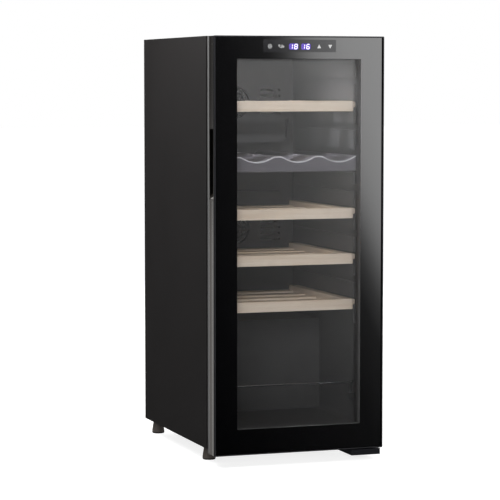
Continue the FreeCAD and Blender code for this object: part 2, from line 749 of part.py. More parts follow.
def compressor():
    """Hermetic compressor: a welded can with a mounting foot plate."""
    wide, tall, seam = cell("can_radius"), cell("can_tall"), cell("can_radius") + 2
    can = revolved([(0, 0), (wide - 8, 0), (wide, 8), (wide, 60), (seam, 61), (seam, 66), (wide, 67),
                    (wide, tall - 24), (wide - 12, tall - 6), (18, tall), (0, tall)])
    low, high = FLOOR + cell("mount_tall"), FLOOR + cell("mount_tall") + cell("plate_thick")
    place(can, COMPRESSOR[0], COMPRESSOR[1], high)
    across, back = COMPRESSOR
    half = cell("mount_side") + 8
    plate = block((across - half, across + half),
                  (back - cell("mount_front") - 8, back + cell("mount_rear") + 8), (low, high))
    holes = [rod(5, (low - 1, high + 1), place_now) for place_now in mount_places()]
    box = block((across - 22, across + 22), (back - 66, back - 50.5), (FLOOR + 50, FLOOR + 96))
    neck = block((across - 18, across + 18), (back - 51, back - 40), (FLOOR + 54, FLOOR + 92))
    sub_part("compressor", joined(can, cut(plate, *holes), box, neck))


def mount_places():
    """The four corners of the compressor's foot plate."""
    across, back = COMPRESSOR
    half = cell("mount_side")
    return [(across + side, back + row) for side in (-half, half)
            for row in (-cell("mount_front"), cell("mount_rear"))]


def compressor_grommets():
    """Rubber mounts with a waist that snaps into the foot plate."""
    grommets = []
    for across, back in mount_places():
        low, high = cell("mount_tall"), cell("mount_tall") + cell("plate_thick")
        grommet = revolved([(0, 0), (9, 0), (9, low - 0.5), (4.8, low), (4.8, high), (7.5, high + 0.4),
                            (6.5, high + 4), (0, high + 4)])
        place(grommet, across, back, FLOOR)
        grommets.append(grommet)
    sub_part("compressor_grommets", group(*grommets))


CONDENSER = (cell("condenser_side"), depth(cell("condenser_depth")))


def condenser():
    """Finned condenser block with two end plates and return bends."""
    across, back = CONDENSER
    low, high = FLOOR + cell("coil_low"), FLOOR + cell("coil_high")
    half, reach, end = cell("coil_half"), cell("coil_deep"), cell("end_plate")
    fins = []
    for n in range(1, 18):
        start = across - half + cell("fin_pitch") * n
        fins.append(block((start, start + cell("fin")), (back - reach, back + reach), (low, high)))
    ends = [block((start, start + end), (back - reach - 1, back + reach + 1), (low - 21, high + 4))
            for start in (across - half - 2, across + half + 2 - end)]
    tubes = [rod(cell("tube_radius"), (across - half - 6, across + half + 6),
                 (back + row, low + 14 + cell("tube_pitch") * n), "X")
             for row in (-8, 8) for n in range(5)]
    sub_part("condenser", joined(*ends, *fins, *tubes))


def condenser_fan():
    """Fan that draws air through the condenser."""
    across, back = CONDENSER[0], CONDENSER[1] + 18
    up = FLOOR + 90
    thick = cell("bay_fan_thick")
    sub_part("condenser_fan_frame", fan_frame(across, back, up, cell("bay_fan_wide"), thick,
                                              cell("bay_fan_bore")))
    sub_part("condenser_fan_rotor", fan_rotor(across, back, up, thick, cell("bay_fan_tip")))


def evaporating_tray():
    """Open tray on the bay floor that catches condensate."""
    left, right = cell("tray_left"), cell("tray_right")
    front, rear = depth(cell("tray_front")), depth(cell("tray_rear"))
    low = FLOOR + cell("tray_lift")
    tray = shell((left, right), (front, rear), (low, low + cell("tray_tall")), cell("tray_wall"),
                 ("high",))
    studs = [rod(5, (FLOOR, low + 0.5), (across, back))
             for across in (left + 12, right - 26) for back in (front + 10, rear - 10)]
    sub_part("evaporating_tray", joined(tray, *studs))


def control_box():
    """Closed plastic box for the power electronics under the bay's roof."""
    roof, seam = cell("bay_top"), cell("bay_top") - cell("lid_tall")
    left, right = cell("box_left"), cell("box_right")
    front, rear = depth(cell("box_front")), depth(cell("box_rear"))
    box = rounded_block((left, right), (front, rear), (roof - cell("box_tall"), roof - GAP), 3,
                        [Z_AXIS])
    lid_line = cut(block((left - 1, right + 1), (front - 1, rear + 1), (seam - 1, seam)),
                   block((left + 1, right - 1), (front + 1, rear - 1), (seam - 2, seam + 1)))
    sub_part("control_box", cut(box, lid_line))


DRIER = (cell("drier_side"), depth(cell("drier_depth")))


def filter_drier():
    """Copper filter drier standing beside the compressor."""
    wide, tall = cell("drier_radius"), cell("drier_tall")
    drier = revolved([(0, 0), (3, 0), (3.5, 10), (wide, 18), (wide, tall - 20), (3.5, tall - 12),
                      (3, tall), (0, tall)])
    place(drier, *DRIER, FLOOR + cell("drier_low"))
    sub_part("filter_drier", drier)


def refrigerant_lines():
    """Copper pipes: discharge to the condenser, suction from the cold side, and the drier's feed."""
    across, back = COMPRESSOR
    roof = cell("bay_top") - 0.2
    drier_top = FLOOR + cell("drier_low") + cell("drier_tall")
    out, high, front = across + 30, FLOOR + 168, depth(304)
    discharge = [(out, back - 20, FLOOR + 140.4), (out, back - 20, high), (out, front, high),
                 (12, front, high), (12, front, FLOOR + 136)]
    near, far, crown = across - 25, across - 62, FLOOR + 172
    suction = [(near, back + 15, FLOOR + 142.2), (near, back + 15, crown), (far, back + 15, crown),
               (far, back + 15, roof)]
    aside = (-40, DRIER[1])
    drier_out = [(*DRIER, drier_top + 0.2), (*DRIER, drier_top + 36), (*aside, drier_top + 36),
                 (*aside, roof)]
    pipes = [bent_rod(discharge, 3, 9), bent_rod(suction, 3.5, 12), bent_rod(drier_out, 2.5, 10)]
    sub_part("refrigerant_lines", group(*pipes))


CORD = (cell("cord_side"), cell("cord_up"))


def rear_cover(rear_drill):
    """Louvred steel cover of the machine bay, with the cord entry."""
    half = SIDE - 0.5
    plate = block((-half, half), COVER_SPAN, (cell("underside") + 1, cell("bay_top")))
    slots = []
    for column in (-2, -1, 0, 1, 2):
        across = cell("louvre_step") * column - 20
        for row in range(13):
            up = cell("louvre_low") + cell("louvre_pitch") * row
            slots.append(block((across, across + cell("louvre_wide")),
                               (COVER_SPAN[0] - 1, COVER_SPAN[1] + 1), (up, up + cell("louvre_tall"))))
    entry = rod(cell("entry_radius"), (REAR - 1, REAR + 3), CORD, "Y")
    sub_part("rear_cover", cut(plate, rear_drill, entry, *slots))


def cord_gland():
    """Stepped rubber gland around the mains cord entry, bored for the cord."""
    outer = rod(cell("gland_radius"), (COVER_SPAN[1], REAR + cell("rear_gap")), CORD, "Y")
    neck = rod(cell("entry_radius") - GAP, (REAR - 2, COVER_SPAN[1] + 0.4), CORD, "Y")
    inner = rod(cell("gland_radius"), (REAR - 14, REAR - 1.2), CORD, "Y")
    bore = rod(cell("cord_radius"), (REAR - 15, REAR + 3), CORD, "Y")
    sub_part("cord_gland", cut(joined(outer, neck, inner), bore))


# ---- door

DOOR_LOW = cell("door_low")
PROFILE = (depth(cell("pane") + GAP), depth(cell("pane") + cell("profile_deep")))
FRAME = (PROFILE[1] + GAP, depth(cell("door_deep")))
GLASS_HALF = SIDE - cell("profile_wide") - 1
GLASS_SPAN = (cell("unit_low"), TOP - 32)
NOTCH_UP = TOP - 20


def door_glass():
    """Toughened outer pane with softened corners and a ground edge."""
    body = rounded_block((-SIDE, SIDE), (depth(0), depth(cell("pane"))), (DOOR_LOW, TOP), 2, [Y_AXIS])
    front = body.Tip
    softened(body, front, 0.6, "Chamfer",
             lambda edge: abs(edge.CenterOfMass.y - float(depth(0))) < 1e-6)
    sub_part("door_glass", body)


def sealed_unit():
    """Inner pane and the spacer that keeps it off the outer one."""
    start = depth(cell("pane") + cell("pane_gap"))
    sub_part("glass_spacer", ring(GLASS_HALF, GLASS_SPAN, cell("profile_wide") / 3 - 0.5,
                                  (depth(cell("pane")), start)))
    sub_part("inner_glass", block((-GLASS_HALF, GLASS_HALF), (start, start + cell("pane")), GLASS_SPAN))


def grip_wedge(grow):
    """The finger recess: a pocket that narrows from just outside the door's side to its floor."""
    low, high = cell("grip_low") - grow, cell("grip_high") + grow
    outside, ramp = 2, 12
    front, rear = depth(cell("grip_front") - grow), depth(cell("grip_rear") + grow)
    wedge = doc.addObject("Part::Wedge", "GripWedge")
    bind(wedge, Xmin=front + 2, Xmax=rear - 1, X2min=front, X2max=rear,
         Ymin=0, Ymax=cell("grip_deep") + grow + outside,
         Zmin=low + ramp, Zmax=high - ramp, Z2min=low, Z2max=high)
    turned(wedge, Z_AXIS, 90)
    place(wedge, -SIDE + cell("grip_deep") + grow, 0, 0)
    return wedge


def side_profile(end):
    """Extruded side bar of the door: hollow, ends this thick, a shallow channel down its outside."""
    wall = cell("profile_wall")
    inner = SIDE - cell("profile_wide")
    body = rounded_block((inner, SIDE), PROFILE, (DOOR_LOW + 0.5, TOP - 0.5), 1, [Z_AXIS])
    hollow = block((inner + wall, SIDE - wall), (PROFILE[0] + wall, PROFILE[1] - wall),
                   (DOOR_LOW + end, TOP - end))
    radius = cell("channel_radius")
    middle = (SIDE - cell("channel_deep") + radius, (PROFILE[0] + PROFILE[1]) / 2)
    channel = rod(radius, (DOOR_LOW - 1, TOP + 1), middle)
    return cut(body, hollow, channel)


def door_profiles():
    """Left bar with the grip cut-out, right bar with the hinge notch, top and bottom bars."""
    notch = block((SIDE - 40, SIDE + 1), (PROFILE[0] - 0.05, PROFILE[1] + 1), (NOTCH_UP, TOP + 1))
    sub_part("door_profile_right", cut(side_profile(-1), notch))
    mirror = doc.addObject("Part::Mirroring", "Mirror")
    mirror.Source = side_profile(3)
    mirror.Normal = X_AXIS
    sub_part("door_profile_left", cut(mirror, grip_wedge(1.3)))
    half = SIDE - cell("profile_wide") - GAP
    wall = cell("profile_wall")
    bottom = block((-half, half), PROFILE, (DOOR_LOW + 0.5, GLASS_SPAN[0] - GAP))
    hollow = block((-half - 1, half + 1), (PROFILE[0] + wall, PROFILE[1] - wall),
                   (DOOR_LOW + 0.5 + wall, GLASS_SPAN[0] - wall))
    sub_part("door_profile_bottom", cut(bottom, hollow))
    top = block((-half, half), PROFILE, (GLASS_SPAN[1] + GAP, TOP - 0.5))
    board_room = block((-cell("board_left") - 3, cell("board_right") + 3),
                       (PROFILE[0] - 1, depth(12)), (GLASS_SPAN[1] + 2, TOP - 2))
    core = block((-half - 1, half + 1), (depth(14), PROFILE[1] - wall), (GLASS_SPAN[1] + 2, TOP - 2))
    sub_part("door_profile_top", cut(top, board_room, core))


def handle_cup():
    """Thin-walled finger grip let into the door's left side."""
    outside = block((-SIDE - 5, -SIDE), (depth(0), FACE), (cell("grip_low") - 5, cell("grip_high") + 5))
    sub_part("handle_cup", cut(grip_wedge(1.2), grip_wedge(0), outside))


def inner_frame():
    """Plastic rear frame of the door with a groove for the seal."""
    outer = SIDE - 1
    up = (DOOR_LOW + 1, TOP - 1)
    frame = ring(outer, up, cell("frame_wide"), FRAME)
    seal_mid = SIDE - cell("seal_inset") - cell("seal_wide") / 2
    groove = ring(seal_mid + 1.6, seal_up(cell("seal_wide") / 2 - 1.6), 3.2,
                  (FRAME[1] - 4, FRAME[1] + 1))
    notch = block((SIDE - 30, SIDE + 1), (FRAME[0] - 1, FRAME[1] + 1), (TOP - 17, TOP + 1))
    sub_part("inner_frame", cut(frame, groove, notch))


def seal_up(inset):
    """Lower and upper edge of the seal, drawn in by an inset."""
    return DOOR_LOW + 21 + inset, TOP - 17.5 - inset


def door_gasket():
    """Magnetic bellows seal: a dart in the groove, a neck and a broad lip."""
    outer = SIDE - cell("seal_inset")
    half = cell("seal_wide") / 2
    lip_start = FRAME[1] + 2.4
    lip = ring(outer, seal_up(0), cell("seal_wide"), (lip_start, FACE - 0.2))
    neck = ring(outer - half + 3, seal_up(half - 3), 6, (FRAME[1] + 0.05, lip_start))
    dart = ring(outer - half + 1.4, seal_up(half - 1.4), 2.8, (FRAME[1] - 3.6, FRAME[1] + 0.05))
    sub_part("door_gasket", joined(lip, neck, dart))


TOUCH_KEYS = (-61.5, -39.4, 38, 60)
KEY_UP = TOP - cell("key_drop")


def door_electronics():
    """Display board behind the glass, with its digit display and touch electrodes."""
    behind_glass = (depth(4.2), depth(7.6))
    sub_part("display_board", block((-cell("board_left"), cell("board_right")),
                                    (depth(cell("board_front")), depth(cell("board_rear"))),
                                    (TOP - cell("board_low"), TOP - cell("board_high"))))
    digits = block((-27, 22), behind_glass, (KEY_UP - 9, KEY_UP + 8))
    sub_part("digit_display", digits)
    pads = []
    for across in TOUCH_KEYS:
        pads.append(cut(rod(cell("pad_radius"), behind_glass, (across, KEY_UP), "Y"),
                        rod(cell("pad_bore"), (depth(4), depth(7)), (across, KEY_UP), "Y")))
    sub_part("touch_pads", group(*pads))


# ---- hinge

def hinge_pins():
    """Steel pins pressed into the top and the bottom bracket."""
    centre = (HINGE_X, HINGE_Y)
    upper = rod(cell("pin_radius"), (TOP - 36, TOP - 8.9), centre)
    lower = rod(cell("pin_radius"), (14, DOOR_LOW + 14), centre)
    sub_part("hinge_pins", group(upper, lower))


def hinge_bushes():
    """Nylon plugs in both ends of the right bar, bored for the pins."""
    inner = SIDE - cell("profile_wide") + cell("profile_wall") + GAP
    outer = SIDE - cell("profile_wall") - GAP
    back = (PROFILE[0] + cell("profile_wall") + GAP, PROFILE[1] - cell("profile_wall") - GAP)
    bore = cell("pin_radius") + cell("running_gap")
    centre = (HINGE_X, HINGE_Y)
    upper = cut(block((inner, outer), back, (TOP - 44, NOTCH_UP)),
                rod(bore, (TOP - 38, TOP), centre))
    lower = cut(block((inner, outer), back, (DOOR_LOW + 0.6, DOOR_LOW + 22)),
                rod(bore, (DOOR_LOW - 1, DOOR_LOW + 16), centre))
    sub_part("hinge_bushes", group(upper, lower))


def bracket_arm(half, back, up):
    """A flat arm with a round nose about the hinge axis."""
    nose = rod(half, up, (HINGE_X, HINGE_Y))
    arm = block((HINGE_X - half, HINGE_X + half), (HINGE_Y, back), up)
    return joined(nose, arm)


def hinge_brackets(hinge_drill):
    """Top bracket in the door's notch, and cranked bottom bracket under the cabinet."""
    leaf = cell("leaf")
    drop = cell("top_arm_drop")
    arm = bracket_arm(cell("top_arm"), FACE, (TOP - drop, TOP - drop + leaf))
    leg = block((SIDE - 2 - cell("hinge_leg"), SIDE - 2), (FACE - 2.4, FACE), (TOP - drop - 3, TOP - 2))
    pin_hole = rod(cell("pin_radius"), (TOP - 20, TOP), (HINGE_X, HINGE_Y))
    sub_part("hinge_bracket_top", cut(joined(arm, leg), pin_hole, hinge_drill))
    under = cell("underside")
    low, crank, half = under - cell("bottom_arm_drop"), cell("crank_depth"), cell("bottom_arm")
    nose = bracket_arm(half, depth(crank), (low, low + leaf))
    across = (HINGE_X + half - cell("plate_wide"), HINGE_X + half)
    riser = block(across, (depth(crank - leaf), depth(crank)), (low, under))
    foot = block(across, (depth(crank), depth(cell("plate_depth"))), (under - leaf, under))
    low_hole = rod(cell("pin_radius"), (10, 30), (HINGE_X, HINGE_Y))
    room = rod(cell("foot_radius") + 2, (under - 8, under + 1), FOOT_PLACES[2])
    sub_part("hinge_bracket_bottom", cut(joined(nose, riser, foot), low_hole, hinge_drill, room))


def hinge_cover_bottom():
    """Moulded cover over the bottom bracket, open at the top."""
    under = cell("underside")
    low, side = under - cell("cover_drop"), SIDE - 4
    outer = rounded_block((side - cell("cover_long"), side), (depth(1), depth(cell("cover_deep"))),
                          (low, low + cell("cover_tall")), 3, [Z_AXIS])
    clear = cell("bottom_arm") + 1
    up = (under - cell("bottom_arm_drop") - 0.2, under)
    leaf_room = block((HINGE_X - clear, HINGE_X + clear), (depth(6), depth(60)), up)
    riser_room = block((HINGE_X + clear - cell("plate_wide") - 2, HINGE_X + clear),
                       (depth(51), depth(60)), up)
    pin_room = rod(5, (under - 17, under), (HINGE_X, HINGE_Y))
    foot_room = rod(cell("foot_radius") + 1.5, (under - 30, under), FOOT_PLACES[2])
    sub_part("hinge_cover_bottom", cut(outer, leaf_room, riser_room, pin_room, foot_room))


# ---- feet

def feet():
    """Four levelling feet: a tapered pad, a metal collar and a threaded stud."""
    top = cell("underside") - GAP
    radius = cell("foot_radius")
    names = ["foot_front_left", "foot_rear_left", "foot_front_right", "foot_rear_right"]
    for name, (across, back) in zip(names, FOOT_PLACES):
        foot = revolved([(0, 0), (radius - 1, 0), (radius, 1.5), (radius, 6), (radius - 2.5, top - 8),
                         (radius - 2.5, top - 5), (radius - 0.5, top - 5), (radius - 0.5, top - 2),
                         (8, top - 2), (8, top), (cell("stud"), top), (cell("stud"), top + 14),
                         (0, top + 14)])
        place(foot, across, back, 0)
        sub_part(name, foot)


# ---- assembly

def build():
    """Make every sub-part."""
    hinge_set, hinge_drill = hinge_screws()
    rear_set, rear_drill = rear_screws()
    sub_part("screws", group(hinge_set, rear_set))
    side_panels(hinge_drill, rear_drill)
    top_panel()
    back_panel()
    base_plate(hinge_drill)
    foot_nuts()
    inner_liner(hinge_drill)
    foam_insulation(hinge_drill, rear_drill)
    shelf_runners()
    for number, low in enumerate(shelf_levels(), 1):
        shelf(f"shelf_{number}", low)
    zone_divider()
    led_bars()
    bottle_guard()
    guard_lugs()
    cold_air()
    temperature_probes()
    bay_wall()
    compressor()
    compressor_grommets()
    condenser()
    condenser_fan()
    evaporating_tray()
    control_box()
    filter_drier()
    refrigerant_lines()
    rear_cover(rear_drill)
    cord_gland()
    door_glass()
    sealed_unit()
    door_profiles()
    handle_cup()
    inner_frame()
    door_gasket()
    door_electronics()
    hinge_pins()
    hinge_bushes()
    hinge_brackets(hinge_drill)
    hinge_cover_bottom()
    feet()


def checked():
    """Recompute, and stop at any failed object or faulty sub-part."""
    doc.recompute()
    failed = [item.Label for item in doc.Objects if {"Invalid", "Error"} & set(item.State)]
    if failed:
        raise RuntimeError(f"failed objects: {failed}")
    for item in sub_parts:
        shape = item.Shape
        if shape.isNull() or not shape.isValid() or not shape.Solids:
            raise RuntimeError(f"{item.Label} has no valid solid")


def written():
    """Write one STEP file for each sub-part."""
    os.makedirs("parts", exist_ok=True)
    for item in sub_parts:
        item.Shape.exportStep(os.path.join("parts", f"{item.Label}.step"))
        print(f"{item.Label}: {len(item.Shape.Solids)} solids, {item.Shape.Volume / 1000:.1f} cm3")
    print(f"{len(sub_parts)} sub-parts")


build()
checked()
written()
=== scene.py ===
import json
import math

import bmesh
import bpy
from mathutils import Matrix, Vector

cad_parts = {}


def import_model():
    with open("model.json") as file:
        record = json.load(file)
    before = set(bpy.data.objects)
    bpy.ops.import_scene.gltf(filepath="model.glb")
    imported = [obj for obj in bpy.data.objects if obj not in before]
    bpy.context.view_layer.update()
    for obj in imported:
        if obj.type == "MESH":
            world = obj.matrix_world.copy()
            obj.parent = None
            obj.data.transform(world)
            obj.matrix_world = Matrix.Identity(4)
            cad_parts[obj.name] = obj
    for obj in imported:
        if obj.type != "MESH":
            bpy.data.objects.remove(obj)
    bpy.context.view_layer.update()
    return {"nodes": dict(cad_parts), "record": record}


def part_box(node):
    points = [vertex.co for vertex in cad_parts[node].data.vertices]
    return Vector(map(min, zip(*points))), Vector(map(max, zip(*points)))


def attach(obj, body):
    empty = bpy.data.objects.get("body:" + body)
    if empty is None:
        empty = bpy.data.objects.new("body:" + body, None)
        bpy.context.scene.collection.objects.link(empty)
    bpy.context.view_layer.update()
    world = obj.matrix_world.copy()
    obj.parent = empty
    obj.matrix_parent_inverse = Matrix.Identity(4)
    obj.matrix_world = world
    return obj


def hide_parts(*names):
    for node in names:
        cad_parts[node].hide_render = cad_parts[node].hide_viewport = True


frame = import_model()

nodes = frame["nodes"]
MM = 0.001


def box_of(name):
    """Low and high corner of a CAD node's box."""
    return [Vector(corner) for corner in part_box(name)]


# ---- places, all read from the frame

GLASS_LOW, GLASS_HIGH = box_of("door_glass")
SPACER_LOW, SPACER_HIGH = box_of("glass_spacer")
BOARD_LOW, BOARD_HIGH = box_of("display_board")
DIGITS_LOW, DIGITS_HIGH = box_of("digit_display")
GLASS_BACK = GLASS_HIGH.y
WINDOW_MARGIN = 11.2 * MM  # width of the spacer that the printed border hides
CAMERA = Vector((-1.4686, GLASS_LOW.y - 3.9274, GLASS_HIGH.z - 0.0881))


# ---- shader helpers

RELIEF = 0.2 * MM  # depth of a bump at full strength
GLASS_IOR = 1.5


class Paint:
    """A node material built step by step."""

    def __init__(self, name):
        self.material = bpy.data.materials.new(name)
        self.material.use_nodes = True
        self.tree = self.material.node_tree
        self.shader = self.tree.nodes["Principled BSDF"]
        self.output = self.tree.nodes["Material Output"]
        self.where = self.add("ShaderNodeTexCoord").outputs["Object"]

    def add(self, kind, **inputs):
        """A new node with some of its inputs set or linked; spaces in names are underscores."""
        node = self.tree.nodes.new(kind)
        for name, value in inputs.items():
            self.put(node.inputs[name.replace("_", " ")], value)
        return node

    def put(self, socket, value):
        """Link a socket, or set its own value."""
        if isinstance(value, bpy.types.NodeSocket):
            self.tree.links.new(value, socket)
        else:
            socket.default_value = value

    def set(self, **inputs):
        """Set or link inputs of the Principled shader."""
        for name, value in inputs.items():
            self.put(self.shader.inputs[name.replace("_", " ")], value)

    def stretched(self, scale):
        """Object coordinates scaled differently along each axis."""
        return self.add("ShaderNodeMapping", Vector=self.where, Scale=scale).outputs["Vector"]

    def noise(self, scale, detail=3.0, roughness=0.55, where=None):
        """A noise value."""
        node = self.add("ShaderNodeTexNoise", Vector=where or self.where, Scale=scale, Detail=detail,
                        Roughness=roughness)
        return node.outputs["Fac"]

    def ramp(self, value, *stops):
        """A colour ramp through (position, colour) stops."""
        node = self.add("ShaderNodeValToRGB", Fac=value)
        elements = node.color_ramp.elements
        while len(elements) < len(stops):
            elements.new(0.5)
        for element, (position, colour) in zip(elements, stops):
            element.position = position
            element.color = (*colour, 1)
        return node.outputs["Color"]

    def span(self, value, low, high, start=0.3, end=0.7):
        """A value mapped from start-end to low-high."""
        node = self.add("ShaderNodeMapRange", Value=value, From_Min=start, From_Max=end, To_Min=low,
                        To_Max=high)
        return node.outputs["Result"]

    def mix(self, factor, first, second):
        """A colour value mixed with a plain second colour."""
        node = self.tree.nodes.new("ShaderNodeMix")
        node.data_type = "RGBA"
        factor_in, first_in, second_in = node.inputs[0], node.inputs[6], node.inputs[7]
        self.put(factor_in, factor)
        self.put(first_in, first)
        self.put(second_in, (*second, 1))
        return node.outputs[2]

    def math(self, operation, first, second=0.0):
        """One arithmetic step."""
        node = self.tree.nodes.new("ShaderNodeMath")
        node.operation = operation
        self.put(node.inputs[0], first)
        self.put(node.inputs[1], second)
        return node.outputs[0]

    def inside(self, spot, low, high, margin):
        """One where split coordinates lie within an upright rectangle drawn in by a margin."""
        left = self.math("GREATER_THAN", spot.outputs["X"], low.x + margin)
        right = self.math("LESS_THAN", spot.outputs["X"], high.x - margin)
        over = self.math("GREATER_THAN", spot.outputs["Z"], low.z + margin)
        under = self.math("LESS_THAN", spot.outputs["Z"], high.z - margin)
        across = self.math("MULTIPLY", left, right)
        return self.math("MULTIPLY", across, self.math("MULTIPLY", over, under))

    def bump(self, height, strength):
        """Relief from a height value."""
        node = self.add("ShaderNodeBump", Height=height, Strength=strength, Distance=RELIEF)
        self.set(Normal=node.outputs["Normal"])


def tinted(colour, factor):
    """A colour made lighter or darker."""
    return tuple(min(1.0, channel * factor) for channel in colour)


def moulded(name, colour, roughness, metallic=0.0, vary=0.12, cloud=9.0, grain=1400.0, relief=0.12,
            stretch=None, ior=GLASS_IOR):
    """A finish with slow colour clouds, uneven roughness and a fine grain."""
    paint = Paint(name)
    clouds = paint.noise(cloud, 4.0)
    where = paint.stretched(stretch) if stretch else paint.where
    fine = paint.noise(grain, 2.0, where=where)
    colours = paint.ramp(clouds, (0.3, tinted(colour, 1 - vary)), (0.7, tinted(colour, 1 + vary)))
    paint.set(Base_Color=colours, Metallic=metallic, IOR=ior)
    uneven = 0.14
    paint.set(Roughness=paint.span(fine, roughness * (1 - uneven), roughness * (1 + uneven)))
    paint.bump(fine, relief)
    return paint.material


def beech(name, along):
    """Pale oiled beech with its grain along an axis: bands, fine rays and short dark flecks."""
    paint = Paint(name)
    band_scale, fleck_scale = [1.0, 1.0, 1.0], [1.0, 1.0, 1.0]
    band_scale[along] = 0.045
    fleck_scale[along] = 0.12
    band = paint.noise(95.0, 5.0, 0.6, paint.stretched(band_scale))
    fleck = paint.noise(1500.0, 1.0, 0.5, paint.stretched(fleck_scale))
    tone = paint.ramp(band, (0.28, (0.70, 0.56, 0.43)), (0.5, (0.80, 0.68, 0.56)),
                      (0.74, (0.87, 0.78, 0.68)))
    dark = paint.span(fleck, 0.0, 0.42, 0.62, 0.74)
    paint.set(Base_Color=paint.mix(dark, tone, (0.46, 0.28, 0.15)))
    paint.set(Roughness=paint.span(band, 0.42, 0.56))
    paint.bump(paint.math("ADD", band, paint.math("MULTIPLY", fleck, 0.4)), 0.25)
    return paint.material


def pane(name, tint, mirror, edge, blur=0.0, window=None, rim=0.0):
    """Thin clear glass that lets light straight through and mirrors by angle.

    Its ground edge, and a rim of the given width around the face, are dark. Window is the share of
    the mirror that a coating leaves inside the window; around it the print behind does the mirroring.
    """
    paint = Paint(name)
    turn = paint.add("ShaderNodeVectorTransform",
                     Vector=paint.add("ShaderNodeNewGeometry").outputs["True Normal"])
    turn.vector_type, turn.convert_from, turn.convert_to = "NORMAL", "WORLD", "OBJECT"
    normal = turn.outputs["Vector"]
    facing = paint.math("ABSOLUTE", paint.add("ShaderNodeSeparateXYZ", Vector=normal).outputs["Y"])
    squarely = 0.9
    dark = paint.math("LESS_THAN", facing, squarely)
    spot = paint.add("ShaderNodeSeparateXYZ", Vector=paint.where)
    fresnel = paint.add("ShaderNodeFresnel", IOR=GLASS_IOR).outputs["Fac"]
    share = paint.math("MULTIPLY", fresnel, mirror)
    if window is not None:
        inside = paint.inside(spot, SPACER_LOW, SPACER_HIGH, WINDOW_MARGIN)
        share = paint.math("MULTIPLY", share, paint.span(inside, 0.0, window, 0.0, 1.0))
    if rim:
        face = paint.inside(spot, GLASS_LOW, GLASS_HIGH, rim)
        dark = paint.math("MAXIMUM", dark, paint.math("SUBTRACT", 1.0, face))
    clear = paint.add("ShaderNodeBsdfTransparent", Color=(*tint, 1))
    smear = paint.span(paint.noise(14.0, 3.0), blur + 0.004, blur + 0.02)
    gloss = paint.add("ShaderNodeBsdfGlossy", Color=(1, 1, 1, 1), Roughness=smear)
    glass = paint.add("ShaderNodeMixShader", Fac=share)
    paint.tree.links.new(clear.outputs[0], glass.inputs[1])
    paint.tree.links.new(gloss.outputs[0], glass.inputs[2])
    paint.set(Base_Color=(*edge, 1), Roughness=0.5, Specular_IOR_Level=0.12)
    whole = paint.add("ShaderNodeMixShader", Fac=dark)
    paint.tree.links.new(glass.outputs[0], whole.inputs[1])
    paint.tree.links.new(paint.shader.outputs[0], whole.inputs[2])
    paint.tree.links.new(whole.outputs[0], paint.output.inputs["Surface"])
    return paint.material


def glowing(name, colour, strength):
    """A lit surface whose glow is a little uneven."""
    paint = Paint(name)
    uneven = paint.noise(420.0, 1.0)
    paint.set(Base_Color=(*tinted(colour, 0.5), 1), Roughness=0.4, Emission_Strength=strength)
    paint.set(Emission_Color=paint.ramp(uneven, (0.3, tinted(colour, 0.93)), (0.7, colour)))
    return paint.material


def foot_material():
    """Grey-brown nylon with a steel collar and stud above the pad, and painted shade on the lowest 3 mm
    where the foot meets the floor.
    """
    paint = Paint("foot_nylon_and_steel")
    height = paint.add("ShaderNodeSeparateXYZ", Vector=paint.where).outputs["Z"]
    fine = paint.noise(900.0, 2.0)
    pad_top, floor_shade_top = 24.95 * MM, 3 * MM
    steel = paint.math("GREATER_THAN", height, pad_top)
    # below the lowest 3 mm the nylon is much darker: painted shade where the foot meets the floor
    rim = paint.math("LESS_THAN", height, floor_shade_top)
    nylon = paint.ramp(fine, (0.3, (0.062, 0.052, 0.046)), (0.7, (0.085, 0.073, 0.066)))
    body = paint.mix(rim, nylon, (0.018, 0.015, 0.014))
    paint.set(Base_Color=paint.mix(steel, body, (0.62, 0.62, 0.60)),
              Metallic=paint.math("MULTIPLY", steel, 0.4))
    paint.set(Roughness=paint.span(fine, 0.34, 0.5))
    paint.bump(fine, 0.1)
    return paint.material


# ---- finishes of the CAD nodes

